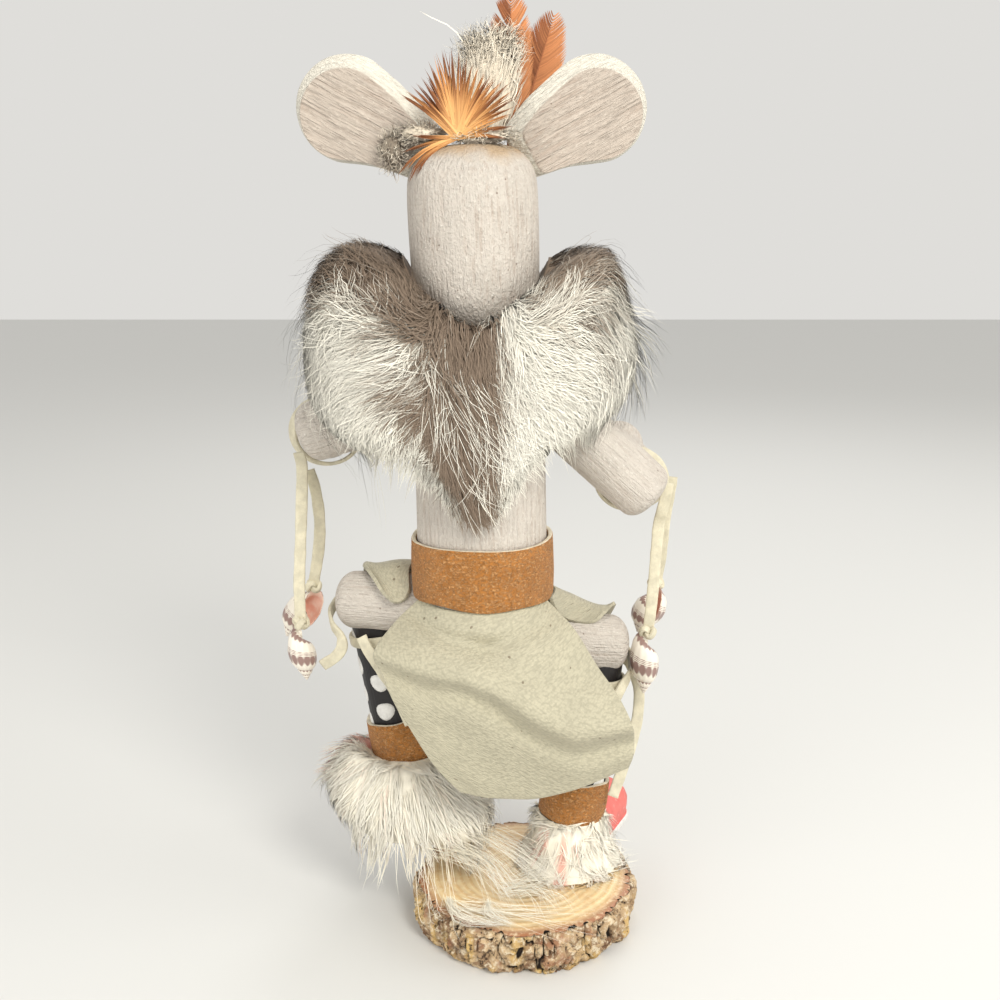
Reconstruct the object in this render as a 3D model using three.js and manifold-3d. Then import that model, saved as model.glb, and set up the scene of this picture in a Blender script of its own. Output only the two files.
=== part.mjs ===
// A carved and painted kachina doll on a bark-edged slab, seen from behind when looking along +Y.
// Millimetres, +Z up. The origin is the middle of the slab's underside, and -X is the doll's own left.

import * as THREE from 'three';
import { LoftGeometry } from 'three/addons/geometries/LoftGeometry.js';
import { mergeVertices } from 'three/addons/utils/BufferGeometryUtils.js';
import Module from 'manifold-3d';

const wasm = await Module();
wasm.setup();

// ---------------------------------------------------------------- driving dimensions

const GAP = 0.3;                 // clearance left between pieces that touch

const BASE_RADIUS = 36.4;        // slab of a branch, bark left on
const BASE_HEIGHT = 13.8;

const TORSO_RADIUS = 20;
const TORSO_BOTTOM = 84;
const TORSO_TOP = 192.6;
const TORSO_X = -11.9;           // where the torso's axis would meet the ground
const TORSO_Y = -2;
const LEAN = THREE.MathUtils.degToRad(0.9);        // the figure leans to its own left
const HEAD_LEAN = THREE.MathUtils.degToRad(1);     // and the head a little more

const HEAD_RADIUS = 18.9;
const HEAD_HEIGHT = 53;

const EAR_LENGTH = 35;           // from the head's side to the tip
const EAR_TIP_RADIUS = 15;
const EAR_ROOT_HALF = 8.8;
const EAR_THICKNESS = 7;
const EAR_TILT = THREE.MathUtils.degToRad(28);

const LIMB_RADIUS = 9.4;         // arms and legs are cut from one size of dowel
const ROD_SIDES = 16;

const SOLE_LENGTH = 55;
const SOLE_HALF_WIDTH = 10;
const FOOT_HEIGHT = 16.5;

const BELT_BOTTOM = 112.6;
const BELT_HEIGHT = 18.4;
const SUEDE = 1.5;               // thickness of belt and cuffs
const CUFF_HEIGHT = 14;
const APRON_THICKNESS = 1.1;

const LACE_WIDTH = 3.7;          // leather thong
const LACE_THICKNESS = 1.2;

// Joints of the figure. The left foot is lifted, and the right foot stands on the slab.
const LIMBS = {
  left: {
    shoulder: new THREE.Vector3(-26, -2, 175.5),
    elbow: new THREE.Vector3(-68.8, 6.5, 160.3),
    forearm: new THREE.Vector3(-65.4, 12.8, 158.6),
    fist: new THREE.Vector3(-59, 45, 163),
    hip: new THREE.Vector3(-22, 0, 107.3),
    knee: new THREE.Vector3(-59.6, 12.8, 105),
    kneecap: new THREE.Vector3(-49.2, 13.5, 105),
    ankle: new THREE.Vector3(-39.5, 11, 51.3),
    toeAngle: THREE.MathUtils.degToRad(-4),
  },
  right: {
    shoulder: new THREE.Vector3(-2, -2, 178.5),
    elbow: new THREE.Vector3(38.3, 0.5, 141.6),
    forearm: new THREE.Vector3(34.6, 8.6, 143.2),
    fist: new THREE.Vector3(30, 41, 153),
    hip: new THREE.Vector3(-6, 0, 96.5),
    knee: new THREE.Vector3(31.6, 11.6, 90),
    kneecap: new THREE.Vector3(23.6, 11, 91),
    ankle: new THREE.Vector3(15.3, 7.8, BASE_HEIGHT + GAP + FOOT_HEIGHT),
    toeAngle: THREE.MathUtils.degToRad(24),
  },
};

// ---------------------------------------------------------------- materials

const finish = (color, roughness) => new THREE.MeshStandardMaterial({ color, roughness, metalness: 0 });
const whitePaint = finish('#e9e4da', 0.85);
const blackPaint = finish('#211d1f', 0.6);
const redPaint = finish('#e8736c', 0.7);
const bark = finish('#8a6a4c', 0.95);
const suede = finish('#a9692f', 0.95);
const buckskin = finish('#d9d5bb', 0.8);
const thong = finish('#ddd3b0', 0.75);
const mantleFur = finish('#b8aa9a', 1);
const ankletFur = finish('#ece2c8', 1);
const shellFinish = finish('#c9ab92', 0.35);
const hackle = finish('#c8661f', 0.6);
const brownVane = finish('#8e4420', 0.6);
const down = finish('#e0d2be', 1);

// ---------------------------------------------------------------- ways of shaping

const doll = new THREE.Group();
const figure = new THREE.Group();      // everything that leans with the torso
figure.position.set(TORSO_X, TORSO_Y, 0);
figure.rotation.y = -LEAN;
const headGroup = new THREE.Group();   // the head and what stands on it
headGroup.position.z = TORSO_TOP + GAP;
headGroup.rotation.y = -HEAD_LEAN;
figure.add(headGroup);
doll.add(figure);

function addPiece(name, geometry, material, parent = doll) {
  const mesh = new THREE.Mesh(geometry, material);
  mesh.name = name;
  parent.add(mesh);
  return mesh;
}

// A turned solid: [radius, height] pairs from the axis, up the outside and back to the axis.
function turned(profile, sides) {
  const points = profile.map(([radius, height]) => new THREE.Vector2(radius, height));
  return new THREE.LatheGeometry(points, sides).rotateX(Math.PI / 2);
}

// Stands a piece's own +Z along the line from one point towards another.
function aim(mesh, from, to) {
  mesh.position.copy(from);
  const along = to.clone().sub(from).normalize();
  mesh.quaternion.setFromUnitVectors(new THREE.Vector3(0, 0, 1), along);
  return mesh;
}

// A dowel with a flat root and a rounded tip, its axis on +Z.
function dowel(length, radius, tipRound) {
  const profile = [[0, 0], [radius, 0], [radius, length * 0.5], [radius, length - tipRound]];
  for (const turn of [35, 65, 90]) {
    const angle = THREE.MathUtils.degToRad(turn);
    const inset = tipRound * (1 - Math.cos(angle));
    profile.push([radius - inset, length - tipRound + tipRound * Math.sin(angle)]);
  }
  profile.push([0, length]);
  return turned(profile, ROD_SIDES);
}

// A band around +Z: a closed profile, so the band has a real inner wall.
function band(innerRadius, thickness, height, sides) {
  const outer = innerRadius + thickness;
  const corners = [[innerRadius, 0], [outer, 0.3], [outer, height - 0.3], [innerRadius, height],
    [innerRadius, 0]];
  return turned(corners, sides);
}

// A closed solid skinned over sections, each a ring of points.
function skin(sections) {
  return new LoftGeometry(sections, { capStart: true, capEnd: true });
}

// A closed loop of sections: the last one is the first again.
function loop(sections) {
  return new LoftGeometry([...sections, sections[0]], {});
}

// A thin sheet over surface(across, down), both from 0 to 1, thickened to both sides.
function sheet(surface, thickness, across, down) {
  const geometry = new THREE.BoxGeometry(1, 1, 1, across, down, 1);
  const at = geometry.attributes.position;
  const step = 0.01;
  for (let i = 0; i < at.count; i += 1) {
    const u = at.getX(i) + 0.5;
    const v = 0.5 - at.getY(i);
    const point = surface(u, v);
    const alongU = surface(u + step, v).sub(surface(u - step, v));
    const alongV = surface(u, v + step).sub(surface(u, v - step));
    const normal = alongV.cross(alongU).normalize();
    point.addScaledVector(normal, at.getZ(i) * thickness);
    at.setXYZ(i, point.x, point.y, point.z);
  }
  return geometry;
}

// A curve whose sections keep one face towards `facing`, as a flat thong lies.
class Lay extends THREE.CatmullRomCurve3 {
  constructor(points, facing, closed = false) {
    super(points, closed, 'catmullrom', 0.5);
    this.facing = facing;
  }

  computeFrenetFrames(segments) {
    const frames = { tangents: [], normals: [], binormals: [] };
    for (let i = 0; i <= segments; i += 1) {
      const tangent = this.getTangentAt(i / segments);
      const facing = typeof this.facing === 'function' ? this.facing(i / segments) : this.facing;
      const across = facing.clone().cross(tangent).normalize();
      frames.tangents.push(tangent);
      frames.normals.push(across);
      frames.binormals.push(tangent.clone().cross(across).normalize());
    }
    return frames;
  }
}

// A flat leather thong laid along a curve.
function lace(path, steps, sides = 8) {
  const section = new THREE.Shape();
  for (let i = 0; i < sides; i += 1) {
    const angle = ((i + 0.5) / sides) * 2 * Math.PI;
    const x = Math.cos(angle) * LACE_WIDTH * 0.54;
    const y = Math.sin(angle) * LACE_THICKNESS * 0.54;
    if (i === 0) section.moveTo(x, y);
    else section.lineTo(x, y);
  }
  section.closePath();
  return new THREE.ExtrudeGeometry(section, { steps, extrudePath: path });
}

// ---------------------------------------------------------------- cutting one piece clear of another

function solidOf(mesh, grow = 0) {
  doll.updateMatrixWorld(true);
  const shape = grow && mesh.userData.whole ? mesh.userData.whole : mesh.geometry;
  const positions = shape.index ? shape.toNonIndexed() : shape.clone();
  const bare = new THREE.BufferGeometry();
  bare.setAttribute('position', positions.getAttribute('position'));
  bare.applyMatrix4(mesh.matrixWorld);
  const merged = mergeVertices(bare, 1e-3);
  if (grow) {
    merged.computeVertexNormals();
    const { position, normal } = merged.attributes;
    for (let i = 0; i < position.count; i += 1) {
      const x = position.getX(i) + normal.getX(i) * grow;
      const y = position.getY(i) + normal.getY(i) * grow;
      const z = position.getZ(i) + normal.getZ(i) * grow;
      position.setXYZ(i, x, y, z);
    }
  }
  const triVerts = new Uint32Array(merged.index.array);
  const vertProperties = merged.attributes.position.array;
  return new wasm.Manifold(new wasm.Mesh({ numProp: 3, vertProperties, triVerts }));
}

function takeShape(mesh, solid) {
  const { vertProperties, triVerts } = solid.getMesh();
  const geometry = new THREE.BufferGeometry();
  geometry.setAttribute('position', new THREE.BufferAttribute(new Float32Array(vertProperties), 3));
  geometry.setIndex(new THREE.BufferAttribute(new Uint32Array(triVerts), 1));
  mesh.geometry = geometry.applyMatrix4(mesh.matrixWorld.clone().invert());
}

// Trims a piece back from its neighbours, leaving the gap between them, and keeps its main body. The
// untrimmed shape stays with it, to cut later pieces cleanly.
function trim(mesh, neighbours, gap = GAP) {
  mesh.userData.whole = mesh.userData.whole ?? mesh.geometry;
  let solid = solidOf(mesh);
  for (const neighbour of neighbours) solid = solid.subtract(solidOf(neighbour, gap));
  const bodies = solid.decompose().sort((a, b) => b.volume() - a.volume());
  takeShape(mesh, bodies[0]);
  return mesh;
}

// ---------------------------------------------------------------- slab

function makeBase() {
  const sides = 48;
  const levels = [[0, -2], [2.2, -0.6], [6.5, 0.4], [11.8, 0.1], [BASE_HEIGHT, -1]];
  const sections = levels.map(([height, swell]) => {
    const ring = [];
    for (let i = 0; i < sides; i += 1) {
      const angle = (i / sides) * 2 * Math.PI;
      const oval = 0.5 * Math.sin(2 * angle + 0.6) - 1.3 * Math.sin(angle) - 0.5;
      const coarse = 0.55 * Math.sin(9 * angle + 0.25 * height);
      const fine = 0.4 * Math.sin(14 * angle + 2 - 0.15 * height);
      const radius = BASE_RADIUS + swell + oval + coarse + fine;
      ring.push(new THREE.Vector3(radius * Math.cos(angle), radius * Math.sin(angle), height));
    }
    return ring;
  });
  return addPiece('base_slab', skin(sections), bark);
}

// ---------------------------------------------------------------- head, ears and torso

function makeTorso() {
  const r = TORSO_RADIUS;
  const foot = TORSO_BOTTOM;
  const top = TORSO_TOP;
  const profile = [[0, foot], [r - 5, foot], [r - 1.2, foot + 2.5], [r, foot + 7], [r, 118], [r - 0.3, 150],
    [r - 0.5, top - 6], [r - 4, top - 1], [r - 7, top], [0, top]];
  return addPiece('torso', turned(profile, 30), whitePaint, figure);
}

function makeHead() {
  const r = HEAD_RADIUS;
  const top = HEAD_HEIGHT;
  const profile = [[0, 0], [r - 10, 0], [r - 5.2, 2.2], [r - 2, 6.2], [r - 0.4, 12], [r, 24], [r, top - 11],
    [r - 1.3, top - 6.5], [r - 4.2, top - 2.8], [r - 8.5, top - 0.6], [0, top]];
  return addPiece('head', turned(profile, 30), whitePaint, headGroup);
}

// A flat rounded paddle whose back face is bevelled, widest along its upper edge.
function makeEar(name, side) {
  const outline = new THREE.Shape();
  const centre = EAR_LENGTH - EAR_TIP_RADIUS;
  outline.moveTo(-6, -EAR_ROOT_HALF + 0.5);
  outline.lineTo(6, -EAR_ROOT_HALF - 1.6);
  outline.absarc(centre, 0, EAR_TIP_RADIUS, -0.58 * Math.PI, 0.58 * Math.PI, false);
  outline.lineTo(4, EAR_ROOT_HALF + 2.8);
  outline.lineTo(-6, EAR_ROOT_HALF - 1.5);
  const points = outline.getSpacedPoints(28).slice(0, 28);
  // each layer: depth, how far its outline shrinks, how far it slides away from the upper edge
  const layers = [[-0.5, 3.4, 1.9], [-0.3, 2.3, 1.3], [-0.02, 0, 0], [0.38, 0.3, 0], [0.5, 1.3, 0]];
  const sections = layers.map(([depth, shrink, slide]) => points.map((point) => {
    const keep = 1 - shrink / EAR_TIP_RADIUS;
    const along = centre + (point.x - centre) * keep;
    const acrossUp = point.y * keep - slide;
    const out = along * Math.cos(EAR_TILT) - acrossUp * Math.sin(EAR_TILT);
    const up = along * Math.sin(EAR_TILT) + acrossUp * Math.cos(EAR_TILT);
    return new THREE.Vector3(side * out, depth * EAR_THICKNESS, up);
  }));
  if (side > 0) sections.forEach((section) => section.reverse());
  const ear = addPiece(name, skin(sections), whitePaint, headGroup);
  ear.position.set(side * (HEAD_RADIUS - 1.6) + 0.2, 2, HEAD_HEIGHT + 0.1 - 0.6 * side);
  ear.rotation.y = LEAN + HEAD_LEAN;
  return ear;
}

// ---------------------------------------------------------------- limbs

function makeArm(where, torso) {
  const limb = LIMBS[where];
  const length = limb.shoulder.distanceTo(limb.elbow);
  const upper = addPiece(`upper_arm_${where}`, dowel(length, LIMB_RADIUS, 4.2), whitePaint);
  aim(upper, limb.shoulder, limb.elbow);
  trim(upper, [torso]);
  const reach = limb.forearm.distanceTo(limb.fist);
  const profile = [[0, 0], [5.4, 0], [LIMB_RADIUS, 4], [LIMB_RADIUS, 12], [7.3, reach - 11.5],
    [8.7, reach - 8], [8.7, reach - 4], [6.4, reach - 0.8], [0, reach]];
  const fore = addPiece(`forearm_${where}`, turned(profile, ROD_SIDES), whitePaint);
  aim(fore, limb.forearm, limb.fist);
  trim(fore, [upper]);
  return { upper, fore };
}

function makeLeg(where, torso) {
  const limb = LIMBS[where];
  const thighLength = limb.hip.distanceTo(limb.knee);
  const thigh = addPiece(`thigh_${where}`, dowel(thighLength, LIMB_RADIUS, 5), whitePaint);
  aim(thigh, limb.hip, limb.knee);
  trim(thigh, [torso]);
  const foot = makeMoccasin(where);
  const shinLength = limb.ankle.distanceTo(limb.kneecap) + 4;
  const r = LIMB_RADIUS - 0.2;
  const profile = [[0, 0], [r, 0], [r, shinLength * 0.5], [r, shinLength], [0, shinLength]];
  const shin = addPiece(`shin_${where}`, turned(profile, ROD_SIDES), blackPaint);
  const below = limb.ankle.clone().sub(limb.kneecap).setLength(4);
  aim(shin, limb.ankle.clone().add(below), limb.kneecap);
  trim(shin, [thigh, foot]);
  const cuffRoot = limb.ankle.clone().addScaledVector(below, -0.15);
  const cuff = addPiece(`cuff_${where}`, band(r + GAP, SUEDE, CUFF_HEIGHT, 20), suede);
  aim(cuff, cuffRoot, limb.kneecap);
  trim(cuff, [foot]);
  return { thigh, shin, foot, cuff };
}

// A carved moccasin: heel and toe arcs joined by straight flanks, a flat sole and a rounded upper.
function makeMoccasin(where) {
  const limb = LIMBS[where];
  const heel = SOLE_HALF_WIDTH * 0.92;
  const toe = SOLE_HALF_WIDTH;
  const outline = new THREE.Shape();
  outline.absarc(0, 0, heel, Math.PI, 2 * Math.PI, false);
  outline.absarc(0, SOLE_LENGTH - heel - toe, toe, 0, Math.PI, false);
  outline.closePath();
  const points = outline.getSpacedPoints(24).slice(0, 24);
  // each layer: share of the height, how far its outline is drawn in
  const layers = [[0, 0.6], [0.05, 0], [0.2, 0], [0.22, 0.6], [0.62, 0.2], [0.86, 1.9], [1, 5.6]];
  const middle = (SOLE_LENGTH - heel - toe) / 2;
  const sections = layers.map(([share, inset]) => points.map((point) => {
    const keepX = 1 - inset / toe;
    const keepY = 1 - inset / (SOLE_LENGTH / 2);
    const y = middle + (point.y - middle) * keepY;
    const drop = 2.6 * THREE.MathUtils.smoothstep(y, 8, SOLE_LENGTH - heel) * share;
    return new THREE.Vector3(point.x * keepX, y, share * FOOT_HEIGHT - drop);
  }));
  const foot = addPiece(`moccasin_${where}`, skin(sections), redPaint);
  foot.rotation.z = -limb.toeAngle;
  const heelBack = new THREE.Vector3(0, -5, 0).applyAxisAngle(new THREE.Vector3(0, 0, 1), -limb.toeAngle);
  foot.position.copy(limb.ankle).add(heelBack);
  foot.position.z = limb.ankle.z - FOOT_HEIGHT;
  return foot;
}

// ---------------------------------------------------------------- fur

// A pelt around a stem: a closed loop of profiles, each given by its angle around the stem.
function pelt(name, material, steps, profileAt, parent) {
  const sections = [];
  for (let i = 0; i < steps; i += 1) {
    const angle = (i / steps) * 2 * Math.PI;
    const out = new THREE.Vector3(Math.cos(angle), Math.sin(angle), 0);
    const place = ([radius, height]) => out.clone().multiplyScalar(radius).setZ(height);
    sections.push(profileAt(angle).map(place));
  }
  return addPiece(name, loop(sections.map((section) => section.reverse())), material, parent);
}

// How near an angle is to a direction, from 0 to 1 over `width` degrees to each side.
function near(angle, direction, width) {
  const turn = Math.abs(((THREE.MathUtils.radToDeg(angle) - direction + 540) % 360) - 180);
  return 1 - THREE.MathUtils.smoothstep(turn, 0, width);
}

// The shoulder mantle: two puffs over the shoulders, a low neck before and behind, and a long tuft
// down the middle of the back. Angles are measured from the doll's right side (+X).
function makeMantle(torso, head, arms) {
  const inner = TORSO_RADIUS + 0.9;
  const profileAt = (angle) => {
    const right = near(angle, 0, 78);
    const left = near(angle, 180, 78);
    const sideways = right + left;
    const back = near(angle, 268, 40);
    const puff = near(angle, 205, 40);
    const lock = Math.sin(12 * angle) + 0.7 * Math.sin(19 * angle + 1);
    const top = 196 + 22 * sideways;
    const bottom = 160 + 6 * sideways - 14 * back - 6 * puff;
    const bulge = inner + 9 + 20 * left + 17.5 * right + 2 * puff;
    const middle = bottom + (top - bottom) * 0.5;
    return [
      [inner, bottom + 8],
      [inner + 3, bottom + lock],
      [inner + 7 + 9 * sideways + lock, bottom - 2 + 1.6 * lock],
      [bulge - 1 + 1.6 * lock, bottom + 9 + lock],
      [bulge + 1.6 * sideways + 1.5 * lock, middle - 4],
      [bulge - 2 * right + lock, middle + 9],
      [inner + 6 + 17 * left + 13 * right + 0.6 * lock, top - 6],
      [inner + 3 + 10 * sideways, top],
      [inner, top - 6],
    ];
  };
  const mantle = pelt('fur_mantle', mantleFur, 48, profileAt, figure);
  return trim(mantle, [torso, head, ...arms]);
}

function makeAnklet(where, steps, profileAt, neighbours) {
  const limb = LIMBS[where];
  const anklet = pelt(`fur_anklet_${where}`, ankletFur, steps, profileAt, doll);
  anklet.position.set(limb.ankle.x, limb.ankle.y, 0);
  return trim(anklet, neighbours);
}

// ---------------------------------------------------------------- leather

function makeBelt(thigh) {
  const belt = addPiece('belt', band(TORSO_RADIUS + GAP, SUEDE, BELT_HEIGHT, 30), suede, figure);
  belt.position.z = BELT_BOTTOM;
  return trim(belt, [thigh]);
}

// A curve through a few points, read as point(share of its length).
const through = (points) => {
  const curve = new THREE.CatmullRomCurve3(points.map((p) => new THREE.Vector3(...p)), false, 'centripetal');
  return (share) => curve.getPoint(THREE.MathUtils.clamp(share, 0, 1));
};

// The back apron hangs from under the belt, is pushed out over the lifted thigh and folds in again
// below. Its left edge, its middle and its right edge are each a curve from the belt to the hem.
function makeBackApron() {
  const waist = (angle, z) => {
    const turn = THREE.MathUtils.degToRad(angle);
    const radius = TORSO_RADIUS + 1.3;
    return [-13.8 + radius * Math.cos(turn), TORSO_Y + radius * Math.sin(turn), z];
  };
  const columns = [
    through([waist(200, 111), [-40.5, -14, 106], [-46, -22, 99], [-42.5, -25.5, 91],
      [-35.5, -26.5, 78], [-28, -26, 65],
      [-20.5, -24, 55.5]]),
    through([waist(235, 111), [-27, -24.5, 104], [-29, -30, 96], [-26, -30, 87], [-21, -28.5, 76],
      [-17, -26.5, 64],
      [-12.5, -24, 53.6]]),
    through([waist(270, 111), [-14, -26, 104], [-12, -31.5, 95], [-9.5, -32.5, 87],
      [-6.5, -30, 76], [-3.5, -26.5, 64],
      [-0.5, -24, 53.2]]),
    through([waist(305, 111), [1, -23.5, 104], [6, -29, 94], [9, -33, 84], [11, -32, 75], [12, -28, 65],
      [12, -25, 56.2]]),
    through([waist(340, 111), [13.5, -15, 105], [21, -20, 94], [27.5, -26, 86], [30.8, -30, 79.5],
      [31.8, -28, 71],
      [30.5, -25, 64]]),
  ];
  const surface = (across, down) => {
    const row = columns.map((column) => column(down));
    const curve = new THREE.CatmullRomCurve3(row, false, 'centripetal');
    return curve.getPoint(THREE.MathUtils.clamp(across, 0, 1));
  };
  return addPiece('back_apron', sheet(surface, APRON_THICKNESS, 12, 12), buckskin);
}

// The front apron, on the far side, wraps the waist and lies over both thighs, where its free edges
// show. Its columns run from the belt to the hem, from the doll's left to its right.
function makeFrontApron() {
  const columns = [
    through([[-36.3, -3.9, 113.4], [-38, -5.7, 110.6], [-40.8, -6, 109.9], [-44, -4.4, 111.8],
      [-47, -1.2, 115.2],
      [-50.2, 4.4, 117.7]]),
    through([[-36.8, 4, 118.4], [-40, 4.6, 118.6], [-44, 5.6, 118.3], [-48, 8, 117.8], [-51.5, 13, 117],
      [-53, 21, 112]]),
    through([[-32.8, 12.5, 117], [-36, 15, 116.8], [-40, 19, 114.5], [-42, 23, 109],
      [-43, 26, 101], [-43, 28, 92]]),
    through([[-24, 19.2, 111.4], [-25, 21.8, 108.5], [-26, 24.5, 102], [-26, 26.5, 94],
      [-26, 27.5, 82], [-26, 27, 68]]),
    through([[-13.8, 20.9, 111.4], [-13, 22.6, 107], [-12, 24.5, 100], [-12, 25.5, 92],
      [-12, 26, 80], [-12, 25.5, 64]]),
    through([[-3, 17.6, 111.4], [-1, 19.5, 108], [1, 22.5, 102], [2, 25, 94], [3, 26.5, 82],
      [3, 26, 66]]),
    through([[4.8, 11.8, 111.3], [8, 14, 108.4], [12.5, 18, 105], [16, 22, 99.5], [18, 25, 91],
      [19, 26.5, 80]]),
    through([[8.7, 3.5, 111.3], [11.5, 5, 109.4], [17, 7, 105.8], [21.4, 8.8, 104],
      [25.6, 11.4, 102.8], [29.6, 18, 101.6]]),
    through([[7.2, -5.4, 111.3], [8.6, -4.6, 107.6], [12, -1.2, 103.2], [16.8, 1, 101],
      [21.6, 2.6, 100.8],
      [24.8, 6, 102.4]]),
  ];
  const surface = (across, down) => {
    const row = columns.map((column) => column(down));
    const curve = new THREE.CatmullRomCurve3(row, false, 'centripetal');
    return curve.getPoint(THREE.MathUtils.clamp(across, 0, 1));
  };
  return addPiece('front_apron', sheet(surface, APRON_THICKNESS, 16, 8), buckskin);
}

// ---------------------------------------------------------------- thongs and shells

// A thong tied around a limb: a flat band swept along a closed curve. Its far edge may flare outwards,
// by an angle given for each share of the way round.
function makeWrap(name, points, flareAt = () => 0) {
  const curve = new THREE.CatmullRomCurve3(points, true, 'catmullrom', 0.5);
  const middle = new THREE.Vector3();
  points.forEach((point) => middle.addScaledVector(point, 1 / points.length));
  const steps = 16;
  const sections = [];
  for (let i = 0; i < steps; i += 1) {
    const point = curve.getPointAt(i / steps);
    const tangent = curve.getTangentAt(i / steps);
    const out = point.clone().sub(middle);
    out.addScaledVector(tangent, -out.dot(tangent)).normalize();
    out.applyAxisAngle(tangent, THREE.MathUtils.degToRad(flareAt(i / steps)));
    const wide = tangent.clone().cross(out);
    sections.push([[-0.5, -0.5], [0.5, -0.5], [0.5, 0.5], [-0.5, 0.5]].map(([thick, across]) => point.clone()
      .addScaledVector(out, thick * LACE_THICKNESS)
      .addScaledVector(wide, across * LACE_WIDTH * 0.9)));
  }
  return addPiece(name, loop(sections), thong);
}

// Points of a circle of that radius around an axis, `reach` along it from its start.
function circlePoints(start, axis, reach, radius) {
  const n = axis.clone().normalize();
  const first = new THREE.Vector3(1, 0, 0).addScaledVector(n, -n.x).normalize();
  const second = n.clone().cross(first);
  const middle = start.clone().addScaledVector(n, reach);
  return [0, 45, 90, 135, 180, 225, 270, 315].map((turn) => {
    const angle = THREE.MathUtils.degToRad(turn);
    return middle.clone()
      .addScaledVector(first, radius * Math.cos(angle))
      .addScaledVector(second, radius * Math.sin(angle));
  });
}

function makeTail(name, points, facing) {
  const curve = new Lay(points.map((p) => new THREE.Vector3(...p)), facing);
  const steps = Math.max(5, Math.round(curve.getLength() / (2 * LACE_WIDTH)));
  return addPiece(name, lace(curve, steps), thong);
}

// A small whelk: a turned body with stepped whorls, from its mouth to the tip of its spire.
function makeShell(name, mouth, tip, radius) {
  const l = mouth.distanceTo(tip);
  const r = radius;
  const profile = [[0, 0], [r * 0.5, 0.06 * l], [r * 0.9, 0.24 * l], [r, 0.45 * l], [r * 0.84, 0.62 * l],
    [r * 0.58, 0.72 * l], [r * 0.52, 0.78 * l], [0, l]];
  return aim(addPiece(name, turned(profile, 9), shellFinish), mouth, tip);
}

// ---------------------------------------------------------------- feathers

// A flat vane: a pointed leaf along +Z, its flat side facing Y.
function vane(length, halfWidth, thickness) {
  const sides = 4;
  const sections = [];
  const rows = [[0, 0.16], [0.3, 0.75], [0.6, 1], [0.9, 0.6], [1, 0.14]];
  for (const [share, wide] of rows) {
    const ring = [];
    for (let i = 0; i < sides; i += 1) {
      const angle = (i / sides) * 2 * Math.PI;
      const x = Math.cos(angle) * halfWidth * wide;
      const y = Math.sin(angle) * thickness * 0.5;
      ring.push(new THREE.Vector3(x, y, share * length));
    }
    sections.push(ring);
  }
  return skin(sections);
}

// Several vanes from one root, joined into one solid.
function feathers(name, material, root, list, parent) {
  let joined = null;
  const mesh = addPiece(name, new THREE.BufferGeometry(), material, parent);
  for (const { length, halfWidth, thickness, lean, tip } of list) {
    const blade = new THREE.Mesh(vane(length, halfWidth, thickness));
    blade.position.copy(root);
    blade.rotation.set(THREE.MathUtils.degToRad(tip), THREE.MathUtils.degToRad(lean), 0);
    parent.add(blade);
    const solid = solidOf(blade);
    joined = joined ? joined.add(solid) : solid;
    parent.remove(blade);
  }
  takeShape(mesh, joined);
  return mesh;
}

// A lump of down: a sphere drawn out and ruffled.
function fluff(name, centre, halfSize, leanDegrees, parent) {
  const geometry = new THREE.SphereGeometry(1, 12, 8);
  const at = geometry.attributes.position;
  for (let i = 0; i < at.count; i += 1) {
    const ruffle = 1 + 0.09 * Math.sin(4 * Math.atan2(at.getZ(i), at.getX(i)) + 5 * at.getY(i));
    const [x, y, z] = [at.getX(i) * halfSize.x, at.getZ(i) * halfSize.y, at.getY(i) * halfSize.z];
    at.setXYZ(i, x * ruffle, y * ruffle, z * ruffle);
  }
  geometry.setIndex([...geometry.index.array].reverse());
  const mesh = addPiece(name, geometry, down, parent);
  mesh.position.copy(centre);
  mesh.rotation.y = THREE.MathUtils.degToRad(leanDegrees);
  return mesh;
}

// ---------------------------------------------------------------- the doll put together

makeBase();
const torso = makeTorso();
const head = makeHead();
const ears = [makeEar('ear_left', -1), makeEar('ear_right', 1)];
ears.forEach((ear) => trim(ear, [head]));

const arms = { left: makeArm('left', torso), right: makeArm('right', torso) };
const legs = { left: makeLeg('left', torso), right: makeLeg('right', torso) };
const armPieces = [arms.left.upper, arms.left.fore, arms.right.upper, arms.right.fore];

// Thongs tied around each forearm where it meets the elbow, slanting back towards the body.
const elbowWraps = [['left', -1], ['right', 1]].map(([where, side]) => {
  const { forearm, fist } = LIMBS[where];
  const along = fist.clone().sub(forearm).normalize();
  const upright = new THREE.Vector3(0, 0, 1);
  const slant = along.clone().applyAxisAngle(upright, THREE.MathUtils.degToRad(-17 * side));
  const middle = forearm.clone().addScaledVector(along, 4.8);
  middle.x -= side;
  const flareAt = (share) => 22 * (1 + side * Math.cos(2 * Math.PI * share));
  return makeWrap(`elbow_thong_${where}`, circlePoints(middle, slant, 0, LIMB_RADIUS + 1.4), flareAt);
});

// Thongs tied around the top of each shin, under the thigh.
for (const where of ['left', 'right']) {
  const { kneecap, ankle } = LIMBS[where];
  const points = circlePoints(kneecap, ankle.clone().sub(kneecap), LIMB_RADIUS + 2.6, LIMB_RADIUS + 0.8);
  makeWrap(`knee_thong_${where}`, points);
}

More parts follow.
